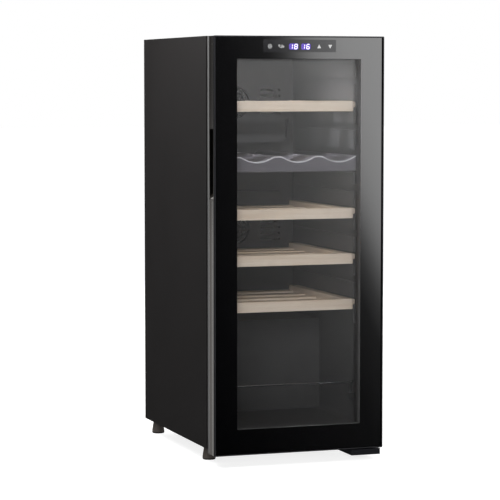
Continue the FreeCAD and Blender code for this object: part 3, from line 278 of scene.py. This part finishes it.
FINISH = {
    "painted_steel": lambda: moulded("painted_steel", (0.014, 0.013, 0.013), 0.5, relief=0.2,
                                     grain=1100.0, vary=0.06),
    "galvanised": lambda: moulded("galvanised_steel", (0.42, 0.43, 0.44), 0.42, 1.0, 0.22, 60.0),
    "foam": lambda: moulded("rigid_foam", (0.80, 0.72, 0.50), 0.85, grain=500.0, relief=0.6),
    "liner": lambda: moulded("liner_plastic", (0.070, 0.070, 0.072), 0.62, grain=1700.0),
    "runner": lambda: moulded("runner_plastic", (0.062, 0.062, 0.064), 0.6, grain=1700.0),
    "divider": lambda: moulded("divider_plastic", (0.125, 0.118, 0.138), 0.5, grain=1500.0),
    "dark_plastic": lambda: moulded("dark_plastic", (0.024, 0.024, 0.026), 0.45),
    "chrome_wire": lambda: moulded("chrome", (0.50, 0.52, 0.56), 0.2, 1.0, 0.03, relief=0.02),
    "aluminium_fin": lambda: moulded("aluminium", (0.66, 0.67, 0.68), 0.3, 1.0, 0.05,
                                     stretch=(0.06, 1, 1)),
    "door_profile": lambda: moulded("anodised_profile", (0.115, 0.105, 0.096), 0.2, 1.0, 0.08,
                                    stretch=(1, 1, 0.02), relief=0.05),
    "light_bar": lambda: glowing("light_bar_lens", (0.86, 0.90, 1.0), 0.9),
    "fan_plastic": lambda: moulded("fan_plastic", (0.03, 0.03, 0.032), 0.4),
    "compressor_paint": lambda: moulded("compressor_paint", (0.018, 0.018, 0.019), 0.32, vary=0.2),
    "rubber_black": lambda: moulded("rubber", (0.02, 0.02, 0.02), 0.75, relief=0.25, grain=700.0),
    "copper": lambda: moulded("copper_pipe", (0.62, 0.28, 0.15), 0.3, 1.0, 0.25, 45.0),
    "outer_glass": lambda: pane("outer_glass", (0.945, 0.945, 0.945), 0.9, (0.010, 0.010, 0.012),
                                window=0.12, rim=2.4 * MM),
    "clear_glass": lambda: pane("inner_glass", (0.97, 0.97, 0.97), 0.55, (0.03, 0.07, 0.06),
                                blur=0.26),
    "seal": lambda: moulded("seal_rubber", (0.022, 0.022, 0.023), 0.6, relief=0.2, grain=800.0),
    "electronics": lambda: moulded("circuit_board", (0.02, 0.07, 0.035), 0.4, vary=0.3, cloud=200.0),
    "display": lambda: moulded("display_module", (0.02, 0.02, 0.024), 0.25),
    "steel": lambda: moulded("zinc_steel", (0.50, 0.50, 0.51), 0.3, 1.0, 0.1, 60.0),
    "nylon": lambda: moulded("nylon", (0.72, 0.71, 0.68), 0.4),
    "hinge_cover": lambda: moulded("hinge_cover_plastic", (0.012, 0.0125, 0.016), 0.45),
    "foot": foot_material,
}
NODE_FINISH = {  # nodes whose own look differs from the rest of their slot
    "glass_spacer": lambda: moulded("warm_edge_spacer", (0.10, 0.10, 0.10), 0.75),
    "inner_frame": lambda: moulded("inner_frame_plastic", (0.095, 0.095, 0.095), 0.7),
}
PROFILES = ["door_profile_left", "door_profile_right", "door_profile_top", "door_profile_bottom",
            "handle_cup"]
SHARP = 40  # degrees between faces from which an edge is rounded
BEVELS = {  # widths in millimetres
    "side_panel_left": 0.35, "side_panel_right": 0.35, "top_panel": 0.3, "rear_cover": 0.3,
    "shelf_runner_left": 1.2, "shelf_runner_right": 1.2,
    "door_profile_left": 0.5, "door_profile_right": 0.5, "inner_frame": 0.8,
    "hinge_cover_bottom": 1.0, "hinge_bracket_bottom": 0.4, "hinge_bracket_top": 0.4,
    "duct_cover_upper": 1.0, "duct_cover_lower": 1.0, "control_box": 0.6, "guard_lugs": 0.8,
}


def soften(thing, width, segments=2):
    """Round the sharp edges of a piece without touching its mesh."""
    bevel = thing.modifiers.new("soft_edges", "BEVEL")
    bevel.width = width * MM
    bevel.segments = segments
    bevel.limit_method = "ANGLE"
    bevel.angle_limit = math.radians(SHARP)
    bevel.harden_normals = True


def finish_nodes():
    """Give every CAD node the finish of its slot, and soft edges where they show."""
    made = {}
    for entry in frame["record"]["subparts"]:
        slot = entry["material_slot"]
        if slot == "beech":
            continue
        if slot not in made:
            made[slot] = FINISH[slot]()
        node = nodes[entry["node"]]
        own = NODE_FINISH.get(entry["node"])
        node.data.materials.clear()
        node.data.materials.append(own() if own else made[slot])
    for name, width in BEVELS.items():
        soften(nodes[name], width)
    return made


# ---- mesh helpers

def linked(name, data):
    """A new object in the scene with this data."""
    thing = bpy.data.objects.new(name, data)
    bpy.context.scene.collection.objects.link(thing)
    return thing


def piece_from(name, mesh_builder, materials, body, replaced=()):
    """A mesh object made by a bmesh function, riding on a body."""
    mesh = bpy.data.meshes.new(name)
    work = bmesh.new()
    mesh_builder(work)
    bmesh.ops.recalc_face_normals(work, faces=work.faces)
    work.to_mesh(mesh)
    work.free()
    thing = linked(name, mesh)
    for material in materials:
        mesh.materials.append(material)
    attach(thing, body)
    if replaced:
        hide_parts(*replaced)
    return thing


def add_box(work, low, high, material_index=0):
    """A box in a bmesh."""
    size = [b - a for a, b in zip(low, high)]
    middle = [(a + b) / 2 for a, b in zip(low, high)]
    matrix = Matrix.Translation(middle) @ Matrix.Diagonal((*size, 1))
    made = bmesh.ops.create_cube(work, size=1, matrix=matrix)
    for face in {face for vert in made["verts"] for face in vert.link_faces}:
        face.material_index = material_index


def add_slab(work, outline, front, back):
    """A closed slab: an outline of (x, z) points between two depths."""
    near, far = [[work.verts.new((x, y, z)) for x, z in outline] for y in (front, back)]
    work.faces.new(near)
    work.faces.new(list(reversed(far)))
    for n in range(len(outline)):
        after = (n + 1) % len(outline)
        work.faces.new((near[after], near[n], far[n], far[after]))


def add_prism(work, outline, bottom, top):
    """A closed prism: an outline of (x, y) points between two heights."""
    under, over = [[work.verts.new((x, y, z)) for x, y in outline] for z in (bottom, top)]
    work.faces.new(list(reversed(under)))
    work.faces.new(over)
    for n in range(len(outline)):
        after = (n + 1) % len(outline)
        work.faces.new((under[n], under[after], over[after], over[n]))


def arc(centre, radius, start, end, steps):
    """Points of a flat arc, angles in degrees."""
    turns = [math.radians(start + (end - start) * n / steps) for n in range(steps + 1)]
    return [(centre[0] + radius * math.cos(a), centre[1] + radius * math.sin(a)) for a in turns]


def rounded_outline(across_low, across_high, low, high, radius, steps=6):
    """A rounded rectangle as (across, along) points."""
    left, right = across_low + radius, across_high - radius
    bottom, top = low + radius, high - radius
    return (arc((right, top), radius, 0, 90, steps) + arc((left, top), radius, 90, 180, steps)
            + arc((left, bottom), radius, 180, 270, steps) + arc((right, bottom), radius, 270, 360, steps))


# ---- door front: printed border, display and keys

def printed_border():
    """Black enamel printed inside the front pane around the window."""
    window_corner, rim_corner = 1.5 * MM, 1.8 * MM
    window = rounded_outline(SPACER_LOW.x + WINDOW_MARGIN, SPACER_HIGH.x - WINDOW_MARGIN,
                             SPACER_LOW.z + WINDOW_MARGIN, SPACER_HIGH.z - WINDOW_MARGIN, window_corner)
    inset = 0.7 * MM
    rim = rounded_outline(GLASS_LOW.x + inset, GLASS_HIGH.x - inset, GLASS_LOW.z + inset,
                          GLASS_HIGH.z - inset, rim_corner)
    front, back = GLASS_BACK - 0.20 * MM, GLASS_BACK - 0.12 * MM

    def build(work):
        sides = []
        for y in (front, back):
            outer = [work.verts.new((x, y, z)) for x, z in rim]
            inner = [work.verts.new((x, y, z)) for x, z in window]
            sides.append((outer, inner))
            for n in range(len(rim)):
                after = (n + 1) % len(rim)
                work.faces.new((outer[n], outer[after], inner[after], inner[n]))
        for ring in (0, 1):
            for n in range(len(rim)):
                after = (n + 1) % len(rim)
                first, second = sides[0][ring], sides[1][ring]
                work.faces.new((first[n], first[after], second[after], second[n]))

    as_glass_and_print = 1.78  # mirrors as much as the pane and the print behind it together
    enamel = moulded("black_enamel", (0.0018, 0.0018, 0.0022), 0.03, relief=0.0, grain=60.0,
                     ior=as_glass_and_print)
    return piece_from("printed_border", build, [enamel], "door")


def touch_patch():
    """Slightly lighter printed field behind the touch keys."""
    middle = (DIGITS_LOW.z + DIGITS_HIGH.z) / 2 + 0.5 * MM
    below, above, corner = 11.5 * MM, 12 * MM, 1.5 * MM
    outline = rounded_outline(BOARD_LOW.x + 7.5 * MM, BOARD_HIGH.x - 5 * MM, middle - below,
                              middle + above, corner)
    front, back = GLASS_BACK - 0.30 * MM, GLASS_BACK - 0.24 * MM
    film = moulded("touch_film", (0.010, 0.010, 0.012), 0.09, relief=0.0, grain=90.0)
    return piece_from("touch_patch", lambda work: add_slab(work, outline, front, back), [film], "door")


SEGMENTS = {  # ends of each bar on a digit one unit wide and two units tall
    "a": ((0, 2), (1, 2)), "b": ((1, 1), (1, 2)), "c": ((1, 0), (1, 1)), "d": ((0, 0), (1, 0)),
    "e": ((0, 0), (0, 1)), "f": ((0, 1), (0, 2)), "g": ((0, 1), (1, 1)),
}
LIT = {"1": "bc", "8": "abcdefg", "6": "acdefg"}
DIGIT_TALL = 8.6 * MM
DIGIT_WIDE = 5.6 * MM
DIGIT_SLANT = 0.13
DIGIT_STARTS = [-21.0 * MM, -11.0 * MM, 3.6 * MM, 13.6 * MM]
DISPLAY_UP = GLASS_HIGH.z - 20.2 * MM


def bar_outline(origin, ends, half, gap):
    """One hexagonal segment bar of a slanted digit whose lower left corner is the origin."""
    def spot(unit):
        up = unit[1] / 2 * DIGIT_TALL
        return Vector((origin[0] + unit[0] * DIGIT_WIDE + up * DIGIT_SLANT, origin[1] + up))

    first, second = spot(ends[0]), spot(ends[1])
    along = (second - first).normalized()
    side = Vector((-along.y, along.x)) * half
    first, second = first + along * gap, second - along * gap
    tip = along * half
    return [tuple(point) for point in (first, first + tip + side, second - tip + side, second,
                                       second - tip - side, first + tip - side)]


def digit_display():
    """Four slanted seven-segment digits: lit bars, their violet halo and the unlit bars."""
    layers = {"lit": [], "halo": [], "unlit": []}
    bottom = DISPLAY_UP - DIGIT_TALL / 2
    for figure, start in zip("1816", DIGIT_STARTS):
        for name, ends in SEGMENTS.items():
            if name in LIT[figure]:
                layers["lit"].append(bar_outline((start, bottom), ends, 0.72 * MM, 0.2 * MM))
            else:
                layers["unlit"].append(bar_outline((start, bottom), ends, 0.6 * MM, 0.35 * MM))
    halo_left, halo_right, halo_over, halo_corner = 0.6 * MM, 18.2 * MM, 1.5 * MM, 3 * MM
    for start in DIGIT_STARTS[::2]:
        layers["halo"].append(rounded_outline(start - halo_left, start + halo_right, bottom - halo_over,
                                              bottom + DIGIT_TALL + halo_over, halo_corner))
    thick, step = 0.03 * MM, 0.0005 * MM  # a step keeps overlapping outlines from sharing a plane
    looks = {  # colour, strength, and depth in front of the glass's back in millimetres
        "lit": ((0.90, 0.86, 1.0), 1.6, 0.48),
        "halo": ((0.12, 0.06, 0.62), 0.42, 0.36),
        "unlit": ((0.30, 0.24, 0.66), 0.38, 0.42),
    }
    for layer, outlines in layers.items():
        colour, strength, forward = looks[layer]
        front = GLASS_BACK - forward * MM

        def build(work):
            for n, outline in enumerate(outlines):
                add_slab(work, outline, front - step * n, front + thick - step * n)

        piece_from(f"digits_{layer}", build, [glowing(f"digits_{layer}", colour, strength)], "door")


def add_ring(work, centre, outer, inner, front, back, steps):
    """A flat ring made of steps."""
    outside = arc(centre, outer, 0, 360, steps)
    inside = arc(centre, inner, 0, 360, steps)
    for n in range(steps):
        add_slab(work, [outside[n], outside[n + 1], inside[n + 1], inside[n]], front, back)


def touch_icons():
    """Printed key marks: a lamp ring, a degree pair with a stroke, and two arrows."""
    front, back = GLASS_BACK - 0.40 * MM, GLASS_BACK - 0.34 * MM
    up = DISPLAY_UP + 0.3 * MM

    def add_lamp(work, middle):
        dot, point = 1.1 * MM, 0.0001 * MM
        add_ring(work, middle, 3.4 * MM, 2.5 * MM, front, back, 28)
        add_ring(work, middle, dot, point, front, back, 16)
        near, far, half = 3.9 * MM, 4.9 * MM, 0.35 * MM
        for n in range(8):
            angle = math.radians(45 * n)
            ray = Vector((math.cos(angle), math.sin(angle)))
            side = Vector((-ray.y, ray.x)) * half
            start, end = Vector(middle) + ray * near, Vector(middle) + ray * far
            add_slab(work, [tuple(start + side), tuple(end + side), tuple(end - side),
                            tuple(start - side)], front, back)

    def add_degrees(work):
        for across, rise in ((-41.2 * MM, 1.6 * MM), (-33.4 * MM, -0.6 * MM)):
            add_ring(work, (across, up + rise), 1.9 * MM, 0.9 * MM, front, back, 18)
        add_box(work, (-40.2 * MM, front, up - 2.2 * MM), (-38.3 * MM, back, up - 1.0 * MM))
        low, high, wide, lean = -37.9 * MM, 3.4 * MM, 1.1 * MM, 1.8 * MM
        add_slab(work, [(low, up - high), (low + wide, up - high), (low + wide + lean, up + high),
                        (low + lean, up + high)], front, back)

    def build(work):
        add_lamp(work, (-60 * MM, up))
        add_degrees(work)
        half, base, tip = 4.1 * MM, 3.3 * MM, 3.9 * MM
        for across, sign in ((39.5 * MM, 1), (62 * MM, -1)):
            add_slab(work, [(across - half, up - sign * base), (across + half, up - sign * base),
                            (across, up + sign * tip)], front, back)

    piece_from("touch_icons", build, [glowing("icon_print", (0.80, 0.80, 0.80), 0.40)], "door")


# ---- shelves

def wooden_shelf(name, body, woods):
    """One slatted shelf: a rounded front strip, side rails with tongues, and slats."""
    low, high = box_of(name)
    half = 128.5 * MM
    strip_back = low.y + 18 * MM
    strip_top = low.z + 20.5 * MM
    strip_corner = 5 * MM
    rail_in = half - 11 * MM
    rail_top = strip_top - 2 * MM
    tongue_low, tongue_top, tongue_out = low.z + 8 * MM, strip_top - 2.5 * MM, half + 10.5 * MM
    nib_in, nib_out, nib_front, nib_back = half - 2 * MM, half + 3 * MM, low.y + 7 * MM, strip_back + 2 * MM
    slats, slat_deep, slat_low, slat_top = 5, 30 * MM, low.z + 0.5 * MM, low.z + 9 * MM

    def add_side(work, sign, inner, outer, front, back, bottom, top):
        """A box from an inner to an outer distance on one side of the middle."""
        ends = sorted((sign * inner, sign * outer))
        add_box(work, (ends[0], front, bottom), (ends[1], back, top), 1)

    def build(work):
        outline = rounded_outline(-half, half, low.y, strip_back, strip_corner, 5)
        add_prism(work, outline, low.z, strip_top)
        for sign in (-1, 1):
            add_side(work, sign, rail_in, half, strip_back, high.y, low.z, rail_top)
            add_side(work, sign, half, tongue_out, strip_back + MM, high.y, tongue_low, tongue_top)
            add_side(work, sign, nib_in, nib_out, nib_front, nib_back, tongue_low, tongue_top)
        first = strip_back + 22 * MM
        pitch = (high.y - first - slat_deep) / (slats - 1)
        for n in range(slats):
            start = first + n * pitch
            add_box(work, (-rail_in, start, slat_low), (rail_in, start + slat_deep, slat_top))

    soften(piece_from(f"{name}_timber", build, woods, body, [name]), 1.1, 3)


def shelves():
    """All four shelves share one pair of wood finishes."""
    woods = [beech("beech_across", 0), beech("beech_deep", 1)]
    for number in (1, 2, 3, 4):
        wooden_shelf(f"shelf_{number}", f"rack_{number}", woods)


# ---- zone divider and finger grip

TROUGH_SHIFT, TROUGH_PITCH = 15 * MM, 84 * MM
TROUGHS = [TROUGH_SHIFT + TROUGH_PITCH * n for n in (-1, 0, 1)]
TROUGH_RADIUS = 58 * MM
TROUGH_DEEP = 10.5 * MM


def wave(across, crest):
    """Height of the scalloped top: arcs that run smoothly into the crests."""
    height = crest
    blend = 3 * MM
    for middle in TROUGHS:
        reach = min(abs(across - middle), TROUGH_RADIUS)
        bowl = crest - TROUGH_DEEP + TROUGH_RADIUS - math.sqrt(TROUGH_RADIUS ** 2 - reach ** 2)
        near = max(blend - abs(bowl - crest), 0) / blend
        height = min(height, min(bowl, crest) - near ** 2 * blend / 4)
    return height


def loft(work, rings, kinds):
    """A closed skin through rings of points; kinds gives each strip's material and smoothness."""
    made = [[work.verts.new(point) for point in ring] for ring in rings]
    count = len(kinds)
    for before, after in zip(made, made[1:]):
        for n, (material_index, smooth) in enumerate(kinds):
            follow = (n + 1) % count
            face = work.faces.new((before[n], before[follow], after[follow], after[n]))
            face.material_index = material_index
            face.smooth = smooth
    work.faces.new(list(reversed(made[0])))
    work.faces.new(made[-1])


def divider_wave(plastic):
    """The zone divider: a scalloped shelf with a rounded lip, and a recess for the lamp. The lip's pale
    grey is a painted highlight along the front edge.
    """
    low, high = box_of("zone_divider")
    lamp_low, lamp_high = lamp_box("lower")
    room = 0.5 * MM
    split = lamp_high.z + room
    lip, edge = 2.4 * MM, 1.5 * MM
    lip_steps = 5
    turns = [math.radians(90 * n / lip_steps) for n in range(lip_steps + 1)]
    steps = 141
    # the lip's faces take the second finish, a pale grey painted highlight
    plain, round_plain, round_highlight = (0, False), (0, True), (1, True)

    def build(work):
        rings = []
        for n in range(steps + 1):
            x = low.x + (high.x - low.x) * n / steps
            top = wave(x, high.z)
            ring = [(x, high.y, split), (x, low.y, split)]
            ring += [(x, low.y + lip * (1 - math.cos(a)), top - lip * (1 - math.sin(a))) for a in turns]
            ring.append((x, high.y, top))
            rings.append(ring)
        loft(work, rings, [plain, plain] + [round_highlight] * lip_steps + [round_plain, plain])
        front = [(low.y, split), (low.y, low.z + edge), (low.y + edge, low.z),
                 (lamp_low.y - room, low.z), (lamp_low.y - room, split)]
        loft(work, [[(x, y, z) for y, z in front] for x in (low.x, high.x)], [plain] * len(front))
        add_box(work, (low.x, lamp_high.y + room, low.z), (high.x, high.y, split))
        for start, end in ((low.x, lamp_low.x - room), (lamp_high.x + room, high.x)):
            add_box(work, (start, lamp_low.y - room, low.z), (end, lamp_high.y + room, split))

    # pale grey on the rounded lip: a painted highlight of the light bar shining on the front edge
    pale = moulded("divider_lip_painted_highlight", (0.50, 0.50, 0.52), 0.35)
    piece_from("divider_wave", build, [plastic, pale], "cabinet", ["zone_divider"])


def grip_scoop():
    """Sloping end of the finger grip, where it runs out to the door's side. Its light grey finish is a
    painted highlight of the light that the slope catches from above.
    """
    low, high = box_of("handle_cup")
    inset, thick = 5 * MM, 0.8 * MM
    front, rear = low.y + inset, high.y - inset
    outer, inner = low.x + 0.4 * MM, low.x + 13.4 * MM
    foot, top = low.z + 2.4 * MM, low.z + 12.2 * MM
    slope = [(outer, foot), (inner, top), (inner, top + thick), (outer, foot + thick)]
    # light grey, far lighter than the anodised profile: a painted highlight on the slope
    scoop_highlight = moulded("grip_scoop_painted_highlight", (0.26, 0.25, 0.24), 0.35, 0.2)
    piece_from("grip_scoop", lambda work: add_slab(work, slope, front, rear), [scoop_highlight], "door")


# ---- wire guard

def bottle_guard(chrome):
    """The chrome wire rail as a smooth bent round bar."""
    low, high = box_of("bottle_guard")
    radius, bend, bend_steps = 2 * MM, 9 * MM, 8
    left, right = low.x + radius, high.x - radius
    front, back = low.y + radius, high.y - radius
    bottom, top = low.z, high.z - radius
    path = [Vector(corner) for corner in (
        (left, back, bottom), (left, back, top), (left, front, top), (right, front, top),
        (right, back, top), (right, back, bottom))]
    points = [path[0]]
    for before, corner, after in zip(path, path[1:], path[2:]):
        arriving, leaving = (corner - before).normalized(), (after - corner).normalized()
        centre = corner - arriving * bend + leaving * bend
        for n in range(bend_steps + 1):
            turn = math.radians(90 * n / bend_steps)
            points.append(centre - leaving * bend * math.cos(turn) + arriving * bend * math.sin(turn))
    points.append(path[-1])
    curve = bpy.data.curves.new("bottle_guard_wire", "CURVE")
    curve.dimensions = "3D"
    curve.bevel_depth = radius
    curve.bevel_resolution = 6
    curve.use_fill_caps = True
    spline = curve.splines.new("POLY")
    spline.points.add(len(points) - 1)
    for spot, point in zip(spline.points, points):
        spot.co = (*point, 1)
    curve.materials.append(chrome)
    wire = linked("bottle_guard_wire", curve)
    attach(wire, "cabinet")
    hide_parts("bottle_guard")


# ---- stage, camera and light

def camera():
    """The photographed viewpoint: from the front left at about the door's top edge."""
    data = bpy.data.cameras.new("camera")
    data.lens = 158.27
    data.sensor_width = 36
    data.clip_end = 60
    look_down, look_right = 4.359, 19.194
    eye = linked("camera", data)
    eye.location = CAMERA
    eye.rotation_euler = (math.radians(90 - look_down), 0, math.radians(-look_right))
    bpy.context.scene.camera = eye


def area_light(name, spot, aim, size, energy, colour=(1, 1, 1), glossy=True):
    """A rectangular soft light aimed at a point."""
    data = bpy.data.lights.new(name, "AREA")
    data.shape = "RECTANGLE"
    data.size, data.size_y = size
    data.energy = energy
    data.color = colour
    lamp = linked(name, data)
    lamp.location = spot
    lamp.rotation_euler = (Vector(aim) - Vector(spot)).to_track_quat("-Z", "Y").to_euler()
    lamp.visible_glossy = glossy
    return lamp


def floor():
    """A wide pale floor that the object stands on."""
    bpy.ops.mesh.primitive_plane_add(size=60, location=(0, 0, 0))
    ground = bpy.context.object
    ground.name = "floor"
    paint = Paint("pale_floor")
    pale = paint.ramp(paint.noise(2.0), (0.3, (0.44, 0.44, 0.44)), (0.7, (0.46, 0.46, 0.46)))
    paint.set(Base_Color=pale, Roughness=0.8)
    seen = paint.add("ShaderNodeLightPath").outputs["Is Camera Ray"]
    glow, glow_seen = 0.5, 0.82
    paint.set(Emission_Color=(1, 1, 1, 1),
              Emission_Strength=paint.span(seen, glow, glow_seen, 0.0, 1.0))
    ground.data.materials.append(paint.material)
    ground.visible_glossy = False


def card(name, corners, lean, stops, strength, above=None):
    """An upright card that only mirrors see, lit by a ramp of height plus lean times X.

    Its corners are a low and a high (x, z) and a depth. Above, given as (start, end, value), it is
    lit by at least a value that rises from zero between two heights.
    """
    mesh = bpy.data.meshes.new(name)
    low, high, y = corners
    mesh.from_pydata([(low[0], y, low[1]), (high[0], y, low[1]), (high[0], y, high[1]),
                      (low[0], y, high[1])], [], [(0, 1, 2, 3)])
    thing = linked(name, mesh)
    paint = Paint(name)
    spot = paint.add("ShaderNodeSeparateXYZ", Vector=paint.where)
    height = paint.math("ADD", spot.outputs["Z"], paint.math("MULTIPLY", spot.outputs["X"], lean))
    first, last = stops[0][0], stops[-1][0]
    level = paint.ramp(paint.span(height, 0.0, 1.0, first, last),
                       *[((at - first) / (last - first), (value,) * 3) for at, value in stops])
    if above:
        start, end, value = above
        level = paint.math("MAXIMUM", level, paint.span(spot.outputs["Z"], 0.0, value, start, end))
    light = paint.add("ShaderNodeEmission", Strength=paint.math("MULTIPLY", level, strength))
    paint.tree.links.new(light.outputs[0], paint.output.inputs["Surface"])
    mesh.materials.append(paint.material)
    for ray in ("camera", "diffuse", "transmission", "shadow"):
        setattr(thing, f"visible_{ray}", False)
    return thing


def light_only(lamp, name, things):
    """Let a card light only these objects."""
    receivers = bpy.data.collections.new(f"lit_by_{name}")
    for thing in things:
        receivers.objects.link(thing)
    lamp.light_linking.receiver_collection = receivers


def cards(front_pieces):
    """What the door's glass mirrors beside the camera, and what its side profile mirrors behind."""
    lean = 2.43  # the bright part's edge slants across the glass
    base = -lean * 1.7686
    front = [(-2.1, 0), (-0.6, 0.014), (-0.2, 0.04), (-0.05, 0.12), (0.05, 0.26), (0.16, 0.5),
             (0.25, 0.67), (0.36, 0.79), (0.6, 0.93), (1.0, 1.0)]
    mirrored = card("front_card", ((-1.0, -2.2), (4.6, 3.4), CAMERA.y), lean,
                    [(height - base, level) for height, level in front], 3.55, above=(0.96, 1.2, 2.0))
    light_only(mirrored, "front_card", [nodes["door_glass"], nodes["inner_glass"], *front_pieces])
    side = [(-1.0, 0.85), (0.15, 1.0), (0.32, 0.85), (0.6, 0.2), (1.2, 0.16)]
    lit = card("side_card", ((-4.4, -1.5), (0.6, 3.0), 2.6), 0.0, side, 0.62)
    light_only(lit, "side_card", [nodes[name] for name in PROFILES])


def world():
    """White behind the object, with a dim even fill."""
    sky = bpy.data.worlds.new("studio")
    bpy.context.scene.world = sky
    sky.use_nodes = True
    tree = sky.node_tree
    fill = tree.nodes["Background"]
    seen = tree.nodes.new("ShaderNodeBackground")
    for background, strength in ((fill, 0.11), (seen, 1.0)):
        background.inputs["Color"].default_value = (1, 1, 1, 1)
        background.inputs["Strength"].default_value = strength
    rays = tree.nodes.new("ShaderNodeLightPath")
    mix = tree.nodes.new("ShaderNodeMixShader")
    tree.links.new(rays.outputs["Is Camera Ray"], mix.inputs[0])
    tree.links.new(fill.outputs[0], mix.inputs[1])
    tree.links.new(seen.outputs[0], mix.inputs[2])
    tree.links.new(mix.outputs[0], tree.nodes["World Output"].inputs["Surface"])


def lights():
    """Overhead wash, key, side and rear fills, and the cabinet's own light bars."""
    sun = bpy.data.lights.new("overhead", "SUN")
    sun.energy = 1.7
    sun.angle = math.radians(60)
    lamp = linked("overhead", sun)
    lamp.rotation_euler = (math.radians(-10), 0, 0)
    lamp.visible_glossy = False
    key = area_light("key", (-1.6, -3.8, 1.9), (0, 0, 1.05), (1.6, 1.6), 8, glossy=False)
    key.data.spread = math.radians(32)
    area_light("side_fill", (-1.3, 0.0, 2.2), (-0.17, 0, 0.8), (1.0, 1.4), 28)
    area_light("side_wash", (-0.6, 0.05, 1.1), (-0.17, 0.05, 0.7), (0.3, 0.5), 3.2, (1, 0.98, 0.96))
    area_light("rear_fill", (1.9, 2.4, 1.5), (0.1, 0.2, 0.5), (1.6, 1.6), 70)
    cool, warm = (0.97, 0.97, 1.0), (1.0, 0.86, 0.66)
    below, lit_share = 1.5 * MM, 0.6
    for zone, strength, tint in (("upper", 0.75, cool), ("lower", 0.10, warm)):
        low, high = lamp_box(zone)
        spot = Vector(((low.x + high.x) / 2, (low.y + high.y) / 2, low.z - below))
        glow = area_light(f"light_{zone}", spot, spot + Vector((0, 0.12, -0.3)),
                          ((high.x - low.x) * lit_share, high.y - low.y), strength, tint, False)
        glow.data.spread = math.radians(170)


def lamp_box(zone):
    """Corners of one zone's light bar, from the two in the light bars' node."""
    low, high = box_of("led_bars")
    thick = 2.5 * MM
    if zone == "upper":
        return Vector((low.x, low.y, high.z - thick)), high
    return low, Vector((high.x, high.y, low.z + thick))


# ---- the whole scene

camera()
finishes = finish_nodes()
door_front = [printed_border(), touch_patch()]
digit_display()
touch_icons()
shelves()
divider_wave(finishes["divider"])
grip_scoop()
bottle_guard(finishes["chrome_wire"])
floor()
cards(door_front)
world()
lights()
bpy.context.scene.view_settings.view_transform = "Standard"
